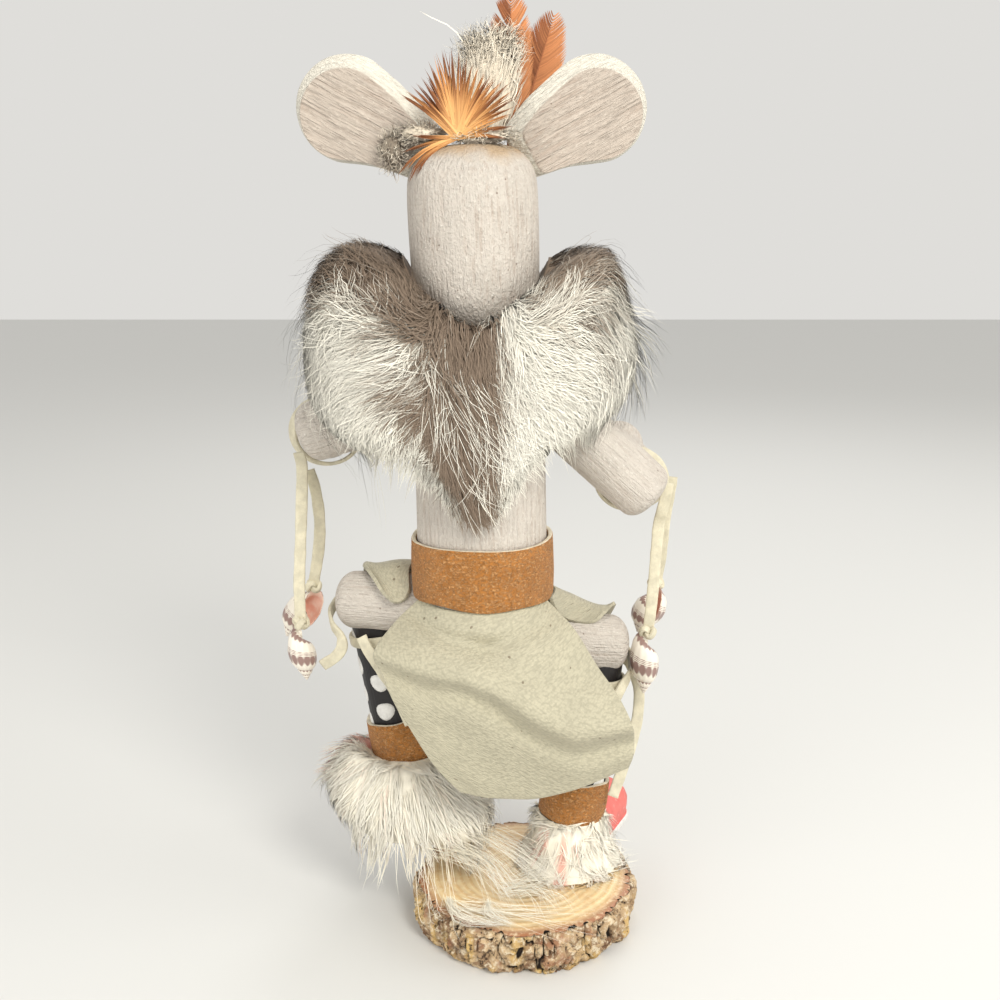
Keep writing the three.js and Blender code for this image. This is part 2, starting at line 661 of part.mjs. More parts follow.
// Two ends hang from each elbow thong, and each end carries a shell.
const toViewer = new THREE.Vector3(0, -1, 0);
makeTail('tail_left_front', [[-71.6, 10.6, 154], [-70.7, 10.4, 149], [-71.1, 9.6, 138.4],
  [-71.7, 8, 125.3],
  [-72.3, 6, 111.9], [-72.2, 5, 99.2]], toViewer);
makeTail('tail_left_back', [[-69.4, 15.6, 147.2], [-67.6, 15.4, 141], [-66.6, 15.4, 131.1],
  [-67.3, 16, 121.1],
  [-69.8, 17, 107.8]], toViewer);
makeTail('tail_right_front', [[44, 6.2, 145], [43.4, 6.2, 140.6], [42.4, 6.4, 135.6],
  [41.8, 8, 131], [41, 7, 119.5],
  [40.1, 6, 106.1], [39, 5, 96.2]], toViewer);
makeTail('tail_right_back', [[46.6, 15.4, 145], [46, 15.4, 140], [44.8, 15, 131.9], [43.9, 15.4, 118.9],
  [42.8, 17, 108.6]], toViewer);
makeShell('shell_left_front', new THREE.Vector3(-72.1, 5, 98.8), new THREE.Vector3(-70.9, 5, 79.6), 5.4);
makeShell('shell_left_back', new THREE.Vector3(-70.6, 17.2, 107.2), new THREE.Vector3(-79.4, 17.2, 90), 6.2);
makeShell('shell_right_front', new THREE.Vector3(39.3, 5, 95.6), new THREE.Vector3(38.2, 5, 74.8), 5.2);
makeShell('shell_right_back', new THREE.Vector3(42.6, 17.2, 108), new THREE.Vector3(37.2, 17.2, 91.4), 6.2);

// Two loose ends hang at each knee. The outer left one comes around the thigh's end.
makeTail('knee_tail_left_outer', [[-55, 24.6, 101], [-60.8, 21.4, 102.4], [-63.6, 13.5, 100.6],
  [-61.8, 4.8, 98],
  [-57.3, 0.6, 96], [-58.4, 0.9, 91.4], [-63, 3, 87.4], [-65.4, 3.6, 85.6]], (share) => (share < 0.66
  ? new THREE.Vector3(-1, -0.9 + 1.8 * (0.66 - share), -0.25) : new THREE.Vector3(-0.35, -1, -0.2)));
makeTail('knee_tail_left_inner', [[-52.4, 1, 96.2], [-51, 0, 93.6], [-49.2, -1, 90.8],
  [-45.1, -3, 85.2],
  [-41.8, -5, 80.6], [-36.6, -8, 70.4]], toViewer);
makeTail('knee_tail_right_outer', [[33.4, 20.5, 81.6], [35.6, 16.4, 80], [37.8, 14, 72.9],
  [37.5, 12, 64.9],
  [36, 9, 58.8], [34.1, 5, 54.9], [31.8, 1, 51], [28.3, -2, 42.2]], toViewer);
makeTail('knee_tail_right_inner', [[28.4, 22.6, 84.6], [33.2, 18.6, 85.4], [34.9, 12.6, 83.6],
  [33.5, 6.5, 81],
  [30.6, 0.8, 79], [28.2, -1.2, 75.4],
  [26, -1, 71]], (share) => (share < 0.55 ? new THREE.Vector3(1, 0.2, -0.2)
  : new THREE.Vector3(0.4, -1, 0)));

makeMantle(torso, head, [...armPieces, ...elbowWraps]);

// Lifted foot: a full bell of fur that hides the foot from behind. Standing foot: a thin, low skirt.
makeAnklet('left', 28, (angle) => {
  const outer = near(angle, 200, 70);
  const inner = near(angle, 335, 60);
  const lock = Math.sin(9 * angle) + 0.7 * Math.sin(14 * angle + 1);
  return [[10.4, 40], [10.6, 29], [19 + 8 * inner + 1.4 * lock, 28 - 2 * inner + lock],
    [22 + 3 * outer + 8 * inner + 1.6 * lock, 36], [22 + 4.5 * outer + 2 * inner + 1.3 * lock, 45],
    [17.5 + 3 * outer, 52 + 4 * outer + 0.6 * lock], [11.8, 52.4]];
}, [legs.left.shin, legs.left.cuff, legs.left.foot]);
makeAnklet('right', 24, (angle) => {
  const heel = near(angle, 246, 60);
  const lock = Math.sin(8 * angle) + 0.6 * Math.sin(13 * angle);
  const floor = BASE_HEIGHT + GAP;
  return [[10.4, floor], [15 + 3 * heel, floor], [18 + 2 * heel + 1.2 * lock, floor + 1.2],
    [15.6 + 2 * heel + 0.8 * lock, 21], [13.4 + 2 * heel + 0.4 * lock, 27], [11.2, 29.4], [10.4, 28.6]];
}, [legs.right.shin, legs.right.cuff, legs.right.foot]);

makeBelt(legs.left.thigh);
makeBackApron();
makeFrontApron();

// Feathers stand in the middle of the head's top, one behind another.
const crown = HEAD_HEIGHT + GAP;
const hackles = [[-80, 16], [-57, 18], [-33, 21.5], [-10, 22.5], [13, 20.5], [37, 22], [61, 23]].map(
  ([lean, length]) => ({ length, halfWidth: 4.2, thickness: 1.6, lean, tip: 9 }),
);
feathers('feather_fan', hackle, new THREE.Vector3(-3.4, -9.4, crown + 0.9), hackles, headGroup);
const plumeAt = new THREE.Vector3(6.6, 7.6, crown + 17.2);
fluff('fluff_plume', plumeAt, new THREE.Vector3(10.6, 3.6, 16.2), 8, headGroup);
feathers('brown_feather_mid', brownVane, new THREE.Vector3(10.6, 12.2, crown - 1.6),
  [{ length: 41, halfWidth: 5.4, thickness: 1.2, lean: 5, tip: 0 }], headGroup);
feathers('brown_feather_right', brownVane, new THREE.Vector3(12, 13.9, crown - 2.8),
  [{ length: 41, halfWidth: 6.4, thickness: 1.2, lean: 21, tip: 0 }], headGroup);
const tuftAt = new THREE.Vector3(-19.4, -5, crown + 0.2);
const tuft = fluff('fluff_tuft_left', tuftAt, new THREE.Vector3(8.4, 3.4, 5.6), 20, headGroup);
trim(tuft, [head, ...ears]);

export default doll;
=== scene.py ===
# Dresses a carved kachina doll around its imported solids. Shapes are worked out in millimetres, in
# the frame of the part, and are put into meshes in metres.

import math
from functools import cache

import bpy
import numpy as np
from bpy.props import FloatProperty, FloatVectorProperty, IntProperty, PointerProperty
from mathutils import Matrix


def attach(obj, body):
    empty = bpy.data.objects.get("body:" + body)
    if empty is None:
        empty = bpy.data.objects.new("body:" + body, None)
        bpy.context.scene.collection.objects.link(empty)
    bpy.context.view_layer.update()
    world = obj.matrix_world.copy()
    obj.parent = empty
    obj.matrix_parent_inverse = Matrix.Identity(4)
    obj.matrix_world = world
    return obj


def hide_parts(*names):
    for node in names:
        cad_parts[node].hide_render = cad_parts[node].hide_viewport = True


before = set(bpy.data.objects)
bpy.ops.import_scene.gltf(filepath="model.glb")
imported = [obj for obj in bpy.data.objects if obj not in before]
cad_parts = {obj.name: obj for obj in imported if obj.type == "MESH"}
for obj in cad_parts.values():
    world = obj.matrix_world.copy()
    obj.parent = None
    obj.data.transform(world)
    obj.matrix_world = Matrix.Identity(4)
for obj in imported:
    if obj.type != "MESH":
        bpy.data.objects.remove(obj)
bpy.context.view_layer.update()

bl_info = {
    "name": "Kachina doll",
    "version": (1, 0, 0),
    "blender": (4, 5, 0),
    "location": "View3D > Sidebar > Doll",
    "description": "Builds a carved and dressed kachina doll, piece by piece",
    "category": "Object",
}

MM = 0.001
GAP = 0.3

BASE_HEIGHT = 13.8
TORSO_BOTTOM = 84
TORSO_TOP = 192.6
FIGURE_AT = np.array([-11.9, -2.0, 0.0])
LEAN = math.radians(0.9)
HEAD_LEAN = math.radians(1.0)
HEAD_HEIGHT = 53
CROWN = HEAD_HEIGHT + GAP
EAR_LENGTH = 35
EAR_TIP_RADIUS = 15
EAR_ROOT_HALF = 8.8
EAR_TILT = math.radians(28)
SOLE_LENGTH = 55
SOLE_HALF_WIDTH = 10
FOOT_HEIGHT = 16.5
BELT_BOTTOM = 112.6

# Joints of the figure, as in the solids.
LIMBS = {
    "left": {
        "shoulder": (-26, -2, 175.5), "elbow": (-68.8, 6.5, 160.3),
        "forearm": (-65.4, 12.8, 158.6), "fist": (-59, 45, 163),
        "hip": (-22, 0, 107.3), "knee": (-59.6, 12.8, 105),
        "kneecap": (-49.2, 13.5, 105), "ankle": (-39.5, 11, 51.3), "toe_angle": -4,
    },
    "right": {
        "shoulder": (-2, -2, 178.5), "elbow": (38.3, 0.5, 141.6),
        "forearm": (34.6, 8.6, 143.2), "fist": (30, 41, 153),
        "hip": (-6, 0, 96.5), "knee": (31.6, 11.6, 90),
        "kneecap": (23.6, 11, 91), "ankle": (15.3, 7.8, BASE_HEIGHT + GAP + FOOT_HEIGHT), "toe_angle": 24,
    },
}
LIMBS = {where: {key: np.array(value, float) for key, value in limb.items()} for where, limb in LIMBS.items()}


# ---- values that a user may change

def length(default, name, description):
    return FloatProperty(name=name, description=description, default=default, min=0, unit="LENGTH", precision=4)


def paint(default, name, description):
    return FloatVectorProperty(name=name, description=description, default=default, size=3, min=0, max=1,
                               subtype="COLOR")


def number(default, name, description):
    return IntProperty(name=name, description=description, default=default, min=100)


class DollSizes(bpy.types.PropertyGroup):
    """Sizes of the doll's pieces."""

    torso_radius: length(0.020, "Torso radius", "Half the width of the turned torso")
    head_radius: length(0.0189, "Head radius", "Half the width of the turned head")
    limb_radius: length(0.0094, "Limb radius", "Half the width of the dowels for arms and legs")
    base_radius: length(0.0364, "Slab radius", "Half the width of the branch slab")
    belt_height: length(0.0184, "Belt height", "Height of the suede belt")
    cuff_height: length(0.014, "Cuff height", "Height of the suede cuffs")
    suede: length(0.0015, "Suede thickness", "Thickness of the belt and the cuffs")
    apron: length(0.0011, "Apron thickness", "Thickness of the aprons' leather")
    lace_width: length(0.0037, "Thong width", "Width of the flat thongs")
    lace_thickness: length(0.0012, "Thong thickness", "Thickness of the flat thongs")


class DollFinishes(bpy.types.PropertyGroup):
    """Colours of the doll's finishes."""

    white: paint((0.625, 0.572, 0.512), "White paint", "Matt white paint on the carved wood")
    grain: paint((0.40, 0.31, 0.25), "Grain", "Wood that shows through the white paint")
    black: paint((0.012, 0.010, 0.011), "Black paint", "Paint on the shins")
    red: paint((0.80, 0.17, 0.145), "Red paint", "Paint on the moccasins")
    suede: paint((0.50, 0.205, 0.050), "Suede", "Belt and cuffs")
    buckskin: paint((0.510, 0.475, 0.355), "Buckskin", "Aprons")
    thong: paint((0.74, 0.69, 0.53), "Thong", "Thongs")
    hackle: paint((0.60, 0.24, 0.07), "Hackle", "Orange feathers of the fan")


class DollFur(bpy.types.PropertyGroup):
    """How many locks the fur has, and how wide a hair is."""

    mantle_locks: number(2650, "Mantle locks", "Locks of hair on the mantle")
    anklet_locks: number(900, "Anklet locks", "Locks of hair on the left anklet")
    hair_width: length(0.00038, "Hair width", "Width of a hair at its root")


def mm(value):
    """A stored length in millimetres."""
    return value / MM


# ---- arrays, curves and noise

def unit(v):
    """Vectors cut to a length of one."""
    return v / np.maximum(np.linalg.norm(v, axis=-1, keepdims=True), 1e-9)


def smooth(value, low, high):
    """The ramp 3x^2 - 2x^3 from 0 at low to 1 at high."""
    x = np.clip((value - low) / (high - low), 0, 1)
    return x * x * (3 - 2 * x)


def near(angle, direction, width):
    """How near an angle in degrees is to a direction: 1 on it, 0 at width degrees to each side."""
    return 1 - smooth(np.abs((angle - direction + 540) % 360 - 180), 0, width)


def cloud(points, size, seed=0):
    """Smooth noise from -1 to 1: random values on a cubic lattice of that size, blended between its corners."""
    place = np.asarray(points, float) / size
    cell = np.floor(place)
    part = place - cell
    part = part * part * (3 - 2 * part)
    total = np.zeros(place.shape[:-1])
    for corner in np.ndindex(2, 2, 2):
        node = cell + corner
        value = np.sin(node @ np.array([127.1, 311.7, 74.7]) + 17.3 * seed) * 43758.5453
        weight = np.prod(np.where(np.array(corner) == 1, part, 1 - part), axis=-1)
        total += weight * (value - np.floor(value))
    return 2 * total - 1


def turn_about(points, axis, degrees):
    """Points turned about an axis through the origin (Rodrigues' formula)."""
    k = unit(np.asarray(axis, float))
    angle = np.radians(degrees)
    along = (points @ k)[..., None] * k
    return points * np.cos(angle) + np.cross(k, points) * np.sin(angle) + along * (1 - np.cos(angle))


def stand(points, start, end):
    """Moves points so that their own +Z runs along the line from start towards end."""
    start, end = np.asarray(start, float), np.asarray(end, float)
    along = unit(end - start)
    axis = np.cross([0, 0, 1.0], along)
    tilt = np.degrees(np.arccos(np.clip(along[2], -1, 1)))
    turned = turn_about(points, axis, tilt) if np.linalg.norm(axis) > 1e-6 else points
    return turned + start


def lean(points, angle):
    """Points leaned towards -X about the Y axis: x cos - z sin, x sin + z cos."""
    x, y, z = np.moveaxis(np.asarray(points, float), -1, 0)
    c, s = math.cos(angle), math.sin(angle)
    return np.stack([x * c - z * s, y, x * s + z * c], axis=-1)


def on_figure(points):
    """From the torso's own axis to the frame of the part."""
    return lean(points, LEAN) + FIGURE_AT


def on_head(points):
    """From the head's own axis to the frame of the part."""
    return on_figure(lean(points, HEAD_LEAN) + np.array([0, 0, TORSO_TOP + GAP]))


def stacked(*parts):
    """Coordinates or marks, each an array or a number, as the last axis of one array."""
    return np.stack(np.broadcast_arrays(*parts), axis=-1)


def circle(count):
    """Angles of even steps round a circle, in radians."""
    return np.arange(count) / count * 2 * math.pi


def around(radius, angle, height):
    """Cylinder coordinates, the angle in degrees, as points."""
    turn = np.radians(angle)
    return stacked(radius * np.cos(turn), radius * np.sin(turn), height)


def through(points, shares, even=False):
    """A smooth curve through points, read at shares of its point count (a Hermite cubic for each span).

    The slopes are half the step between the neighbours, or, unless `even`, weighted by the square root of the
    spans' lengths. `points` is (n, 3) or, for many curves at once, (..., n, 3)."""
    p = np.asarray(points, float)
    spans = p.shape[-2] - 1
    p = np.concatenate([2 * p[..., :1, :] - p[..., 1:2, :], p, 2 * p[..., -1:, :] - p[..., -2:-1, :]], axis=-2)
    place = np.clip(np.asarray(shares, float), 0, 1) * spans
    index = np.minimum(np.floor(place).astype(int), spans - 1)
    t = (place - index)[:, None]
    p0, p1, p2, p3 = (p[..., index + k, :] for k in range(4))
    if even:
        m1, m2 = 0.5 * (p2 - p0), 0.5 * (p3 - p1)
    else:
        d0, d1, d2 = (np.sqrt(np.maximum(np.linalg.norm(b - a, axis=-1, keepdims=True), 1e-6))
                      for a, b in ((p0, p1), (p1, p2), (p2, p3)))
        m1 = d1 * ((p1 - p0) / d0 - (p2 - p0) / (d0 + d1) + (p2 - p1) / d1)
        m2 = d1 * ((p2 - p1) / d1 - (p3 - p1) / (d1 + d2) + (p3 - p2) / d2)
    return p1 + m1 * t + (3 * (p2 - p1) - 2 * m1 - m2) * t ** 2 + (2 * (p1 - p2) + m1 + m2) * t ** 3


def evenly(line, count, closed=False):
    """The same line read again at equal steps of its length."""
    if closed:
        line = np.concatenate([line, line[:1]])
    far = np.concatenate([[0], np.cumsum(np.linalg.norm(np.diff(line, axis=0), axis=1))])
    want = np.linspace(0, far[-1], count, endpoint=not closed)
    return np.stack([np.interp(want, far, line[:, k]) for k in range(line.shape[1])], axis=-1)


def rounded(profile):
    """A profile with its corners cut (Chaikin: each span keeps its quarter and three-quarter points)."""
    line = np.asarray(profile, float)
    for _ in range(3):
        cut = np.stack([0.75 * line[:-1] + 0.25 * line[1:], 0.25 * line[:-1] + 0.75 * line[1:]], axis=1)
        line = np.concatenate([line[:1], cut.reshape(-1, line.shape[1]), line[-1:]])
    return line


# ---- meshes

def quads(rows, columns, round_rows=False, round_columns=False):
    """Corner numbers of the four-sided faces of a grid of points, wrapping where it is round."""
    r = np.arange(rows if round_rows else rows - 1)[:, None]
    c = np.arange(columns if round_columns else columns - 1)[None]
    r2, c2 = (r + 1) % rows, (c + 1) % columns
    return np.stack([r * columns + c, r * columns + c2, r2 * columns + c2, r2 * columns + c], axis=-1).reshape(-1, 4)


def add(name, data):
    """An object in the scene."""
    item = bpy.data.objects.new(name, data)
    bpy.context.scene.collection.objects.link(item)
    return item


def put(name, points, faces, material, stands_for=(), materials=(), face_material=None, attributes=None,
        soft_shade=True):
    """A piece of the doll from whole arrays: points in millimetres and faces as rows of corner numbers."""
    points = np.asarray(points, float).reshape(-1, 3) * MM
    mesh = bpy.data.meshes.new(name)
    mesh.vertices.add(len(points))
    mesh.vertices.foreach_set("co", points.ravel())
    corners = np.concatenate([f.ravel() for f in faces]).astype(np.int32)
    sizes = np.concatenate([np.full(len(f), f.shape[1]) for f in faces])
    mesh.loops.add(len(corners))
    mesh.loops.foreach_set("vertex_index", corners)
    mesh.polygons.add(len(sizes))
    mesh.polygons.foreach_set("loop_start", np.concatenate([[0], np.cumsum(sizes)[:-1]]).astype(np.int32))
    mesh.polygons.foreach_set("use_smooth", np.full(len(sizes), soft_shade))
    for key, values in (attributes or {}).items():
        layer = mesh.attributes.new(key, "FLOAT_VECTOR", "POINT")
        layer.data.foreach_set("vector", np.asarray(values, np.float32).reshape(-1))
    for finish in (material, *materials):
        mesh.materials.append(finish)
    if face_material is not None:
        mesh.polygons.foreach_set("material_index", np.asarray(face_material, np.int32))
    mesh.update(calc_edges=True)
    mesh.validate()
    piece = add(name, mesh)
    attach(piece, "root")
    if stands_for:
        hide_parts(*stands_for)
    return piece


def capped(rings, first, last):
    """Faces and points of a solid skinned over rings, closed by fans to the points first and last."""
    rows, sides = rings.shape[:2]
    points = np.concatenate([rings.reshape(-1, 3), [first], [last]])
    c = np.arange(sides)
    c2 = (c + 1) % sides
    foot, top = rows * sides, rows * sides + 1
    low = np.stack([np.full(sides, foot), c2, c], axis=-1)
    high = np.stack([np.full(sides, top), c + (rows - 1) * sides, c2 + (rows - 1) * sides], axis=-1)
    return points, [quads(rows, sides, round_columns=True), low, high]


def turned(name, profile, place, material, slot, stands_for, sides=72, shape=None):
    """A turned piece of wood from a profile of (radius, height), which starts and ends on the axis.

    `place` moves it from its own axis, and its own coordinates stay as grain."""
    line = rounded(profile)[1:-1]
    rings = around(line[:, 0, None], np.arange(sides)[None] / sides * 360, line[:, 1, None])
    if shape:
        rings = shape(rings)
    points, faces = capped(rings, (0, 0, profile[0][1]), (0, 0, profile[-1][1]))
    return put(name, place(points), faces, material, stands_for, attributes={"grain": points * MM})


def tufts(lines, widths, marks):
    """Hairs: each line of points becomes a low three-sided blade, flat towards the way of the fur, that narrows
    to a point and is closed at its root.

    lines is (hairs, stations, 3), widths (hairs, stations) and marks (hairs, stations, 6), the last three of them
    the way of the fur."""
    count, stations = lines.shape[:2]
    along = unit(np.gradient(lines, axis=1))
    side = unit(np.cross(marks[..., 3:] + np.array([0.011, 0.007, 0.013]), along))
    up = np.cross(along, side)
    wide = widths[:, :-1, None]
    ring = lines[:, :-1, None] + np.stack([0.5 * wide * side[:, :-1], -0.5 * wide * side[:, :-1],
                                           -0.32 * wide * up[:, :-1]], axis=2)
    points = np.concatenate([ring.reshape(count, -1, 3), lines[:, -1:]], axis=1)
    kept = np.concatenate([np.repeat(marks[:, :-1], 3, axis=1), marks[:, -1:]], axis=1)
    rings = stations - 1
    body = quads(rings, 3, round_columns=True)
    tip = 3 * rings
    ends = np.array([[0, 2, 1]] + [[tip, tip - 3 + k, tip - 3 + (k + 1) % 3] for k in range(3)])
    shift = (np.arange(count) * (tip + 1))[:, None, None]
    faces = [(body[None] + shift).reshape(-1, 4), (ends[None] + shift).reshape(-1, 3)]
    return points.reshape(-1, 3), faces, kept.reshape(-1, marks.shape[-1])


def marked(along, tone, chance, coat):
    """Hair marks: the place along the hair, its tone, a chance value, and the way the fur faces."""
    own = stacked(along, tone, chance)
    return np.concatenate([own, np.broadcast_to(coat, own.shape)], axis=-1)


def joined(*solids):
    """Several (points, faces, marks) as one."""
    points, faces, marks, start = [], [], [], 0
    for p, f, m in solids:
        points.append(p)
        marks.append(m)
        faces.extend(face + start for face in f)
        start += len(p)
    return np.concatenate(points), faces, np.concatenate(marks)


# ---- shader nodes

class Net:
    """Adds nodes to a tree and joins them: an input is given as a number, a colour or another node's output."""

    def __init__(self, tree):
        self.tree = tree

    def node(self, kind, inputs=(), out=0, **settings):
        node = self.tree.nodes.new(kind)
        for key, value in settings.items():
            setattr(node, key, value)
        for key, value in dict(inputs).items():
            socket = node.inputs[key]
            if isinstance(value, bpy.types.NodeSocket):
                self.tree.links.new(value, socket)
            else:
                socket.default_value = (*value[:3], 1) if socket.type == "RGBA" else value
        return node.outputs[out] if out is not None else node

    def attribute(self, name):
        return self.node("ShaderNodeAttribute", attribute_name=name, out="Vector")

    def object_place(self):
        return self.node("ShaderNodeTexCoord", out="Object")

    def stretched(self, vector, scale):
        return self.node("ShaderNodeMapping", {"Vector": vector, "Scale": scale})

    def noise(self, vector, scale, detail=3.0, roughness=0.55, distortion=0.0):
        return self.node("ShaderNodeTexNoise", {"Vector": vector, "Scale": scale, "Detail": detail,
                                                "Roughness": roughness, "Distortion": distortion}, out="Fac")

    def cells(self, vector, scale, feature="F1", randomness=1.0, out="Distance"):
        return self.node("ShaderNodeTexVoronoi", {"Vector": vector, "Scale": scale, "Randomness": randomness},
                         out=out, feature=feature)

    def ramp(self, value, low, high, to_low=0.0, to_high=1.0):
        return self.node("ShaderNodeMapRange", {"Value": value, "From Min": low, "From Max": high,
                                                "To Min": to_low, "To Max": to_high},
                         interpolation_type="SMOOTHSTEP")

    def math(self, operation, a, b):
        return self.node("ShaderNodeMath", {0: a, 1: b}, operation=operation)

    def times(self, a, b):
        return self.math("MULTIPLY", a, b)

    def plus(self, a, b):
        return self.math("ADD", a, b)

    def wave(self, value):
        return self.math("SINE", value, 0.0)

    def vectors(self, operation, a, b=(0.0, 0.0, 0.0), out=0):
        return self.node("ShaderNodeVectorMath", {0: a, 1: b}, operation=operation, out=out)

    def scaled(self, vector, by):
        return self.node("ShaderNodeVectorMath", {0: vector, "Scale": by}, operation="SCALE")

    def grey(self, value):
        return self.node("ShaderNodeCombineColor", {"Red": value, "Green": value, "Blue": value})

    def mix(self, factor, a, b, blend="MIX"):
        return self.node("ShaderNodeMix", {0: factor, 6: a, 7: b}, out=2, data_type="RGBA", blend_type=blend)

    def split(self, vector):
        return self.node("ShaderNodeSeparateXYZ", {"Vector": vector}, out=None).outputs

    def bump(self, height, strength, distance):
        return self.node("ShaderNodeBump", {"Height": height, "Strength": strength, "Distance": distance})

    def group(self, tree, **inputs):
        named = {key.replace("_", " "): value for key, value in inputs.items()}
        return self.node("ShaderNodeGroup", named, out=None, node_tree=tree).outputs


def effect(name, inputs, outputs):
    """A shader node group with named sockets: (net, its inputs, a function that sets an output)."""
    tree = bpy.data.node_groups.new(name, "ShaderNodeTree")
    kinds = {"vector": "NodeSocketVector", "value": "NodeSocketFloat", "colour": "NodeSocketColor"}
    for key, (kind, default) in inputs.items():
        socket = tree.interface.new_socket(key, in_out="INPUT", socket_type=kinds[kind])
        if default is not None:
            socket.default_value = default if kind != "colour" else (*default, 1)
    for key, kind in outputs.items():
        tree.interface.new_socket(key, in_out="OUTPUT", socket_type=kinds[kind])
    net = Net(tree)
    entry, leave = tree.nodes.new("NodeGroupInput"), tree.nodes.new("NodeGroupOutput")
    return net, entry.outputs, lambda key, value: tree.links.new(value, leave.inputs[key]), tree


@cache
def mottle_effect():
    """Soft patches that darken and lighten a colour a little."""
    net, given, give, tree = effect(
        "Mottle", {"Place": ("vector", None), "Colour": ("colour", (0.8, 0.8, 0.8)), "Scale": ("value", 200.0),
                   "Depth": ("value", 0.15)}, {"Colour": "colour"})
    patches = net.noise(given["Place"], given["Scale"], detail=4.0, roughness=0.6)
    dim = net.math("SUBTRACT", 1.0, net.times(net.ramp(patches, 0.3, 0.7), given["Depth"]))
    give("Colour", net.mix(1.0, given["Colour"], net.grey(dim), "MULTIPLY"))
    return tree


@cache
def nap_effect():
    """The nap of suede, fur and felt: short bright and dark fibres."""
    net, given, give, tree = effect(
        "Nap", {"Place": ("vector", None), "Scale": ("value", 1500.0)}, {"Fibres": "value", "Height": "value"})
    fine = net.noise(given["Place"], given["Scale"], detail=4.0, roughness=0.75, distortion=1.2)
    coarse = net.noise(given["Place"], net.times(given["Scale"], 0.3), detail=2.0)
    give("Fibres", net.ramp(net.plus(net.times(fine, 0.7), net.times(coarse, 0.3)), 0.36, 0.66))
    give("Height", fine)
    return tree


def colours():
    return bpy.context.scene.doll_finishes


def sizes():
    return bpy.context.scene.doll_sizes


def new_material(name, roughness, specular=0.5, **fixed):
    """A material with one Principled shader: its net, and a function that joins a value to a shader input."""
    material = bpy.data.materials.new(name)
    material.use_nodes = True
    tree = material.node_tree
    shader = tree.nodes["Principled BSDF"]
    shader.inputs["Roughness"].default_value = roughness
    shader.inputs["Specular IOR Level"].default_value = specular
    for key, value in fixed.items():
        shader.inputs[key.replace("_", " ")].default_value = value
    return material, Net(tree), lambda key, value: tree.links.new(value, shader.inputs[key])


def mottled(net, place, colour, scale, depth):
    """A colour with soft patches."""
    return net.group(mottle_effect(), Place=place, Colour=tuple(colour), Scale=scale,
                     Depth=depth)["Colour"]


def napped(net, place, scale):
    return net.group(nap_effect(), Place=place, Scale=scale)


@cache
def brushed_effect():
    """Thick matt paint brushed along the grain: ridges along Z, grit, pale beads, brown valleys and pores."""
    net, given, give, tree = effect(
        "Brushed paint", {"Place": ("vector", None), "Colour": ("colour", (0.7, 0.65, 0.6)),
                          "Valley": ("colour", (0.4, 0.32, 0.26)), "Ridges": ("value", 1.0),
                          "Grit": ("value", 1.0)}, {"Colour": "colour", "Height": "value"})
    run = net.stretched(given["Place"], (1.0, 1.0, 0.075))
    ridge = net.noise(run, 980.0, detail=3.0, roughness=0.6, distortion=0.3)
    fine = net.noise(run, 1900.0, detail=2.0)
    grit = net.noise(net.stretched(given["Place"], (1.0, 1.0, 0.6)), 1350.0, detail=2.0, roughness=0.7)
    broad = net.noise(net.stretched(given["Place"], (1.0, 1.0, 0.4)), 60.0, detail=2.0)
    where = net.ramp(broad, 0.35, 0.65, 0.35, 1.0)
    valley = net.ramp(ridge, 0.49, 0.36)
    low = net.ramp(grit, 0.46, 0.28)
    dark = net.times(where, net.plus(net.times(valley, 0.42), net.times(low, 0.34)))
    stained = net.mix(dark, given["Colour"], given["Valley"])
    bead = net.ramp(grit, 0.58, 0.74, 0.0, 0.45)
    beaded = net.mix(bead, stained, (0.88, 0.85, 0.78))
    near_pore = net.cells(given["Place"], 420.0)
    pick = net.split(net.cells(given["Place"], 420.0, out="Color"))[0]
    pore = net.math("LESS_THAN", near_pore, net.ramp(pick, 0.55, 1.0, 0.0, 0.13))
    give("Colour", net.mix(net.times(pore, 0.6), beaded, (0.16, 0.10, 0.07)))
    tall = net.plus(net.times(ridge, given["Ridges"]), net.times(fine, 0.25))
    give("Height", net.plus(tall, net.times(grit, given["Grit"])))
    return tree


@cache
def painted_wood(piece):
    """White paint on the carved wood. The head's crown is stained by glue, and an ear has long raised grain."""
    material, net, join = new_material(f"painted_{piece}", 0.80, 0.3)
    place = net.attribute("grain")
    ridges, grit = {"head": (1.3, 1.2), "ear": (2.6, 0.25), "body": (1.5, 0.8)}[piece]
    brushed = net.group(brushed_effect(), Place=place, Ridges=ridges, Grit=grit,
                        Colour=mottled(net, place, colours().white, 95.0, 0.09), Valley=tuple(colours().grain))
    colour = brushed["Colour"]
    if piece == "head":
        height = net.plus(net.split(place)[2], net.times(net.noise(place, 110.0), 0.012))
        glue = net.ramp(height, 0.0525, 0.0590, 0.0, 0.75)
        colour = net.mix(glue, colour, (0.50, 0.33, 0.17))
    if piece == "ear":
        # Painted highlight on the bevel, which faces up to the light, and painted shade on the flat face.
        bevel = net.ramp(net.split(place)[1], -0.00345, -0.0031)
        face = net.mix(1.0, colour, (0.90, 0.85, 0.81), "MULTIPLY")
        colour = net.mix(bevel, face, net.mix(0.55, colour, (0.92, 0.89, 0.77)))
    join("Base Color", colour)
    join("Normal", net.bump(brushed["Height"], 0.85, 0.0010))
    return material


@cache
def black_paint():
    """Black paint on a dowel, worn along the streaks of its grain."""
    material, net, join = new_material("black_paint", 0.5, 0.4)
    place = net.attribute("grain")
    run = net.stretched(place, (1.0, 1.0, 0.05))
    streak = net.noise(run, 800.0, roughness=0.6, distortion=0.3)
    height = net.plus(net.times(streak, -0.9), net.times(net.noise(run, 2080.0, detail=2.0), -0.5))
    worn = net.times(net.ramp(streak, 0.52, 0.70), net.ramp(net.noise(place, 160.0), 0.5, 0.75, 0.0, 0.35))
    join("Base Color", net.mix(worn, tuple(colours().black), (0.10, 0.085, 0.08)))
    join("Normal", net.bump(height, 0.5, 0.0004))
    return material


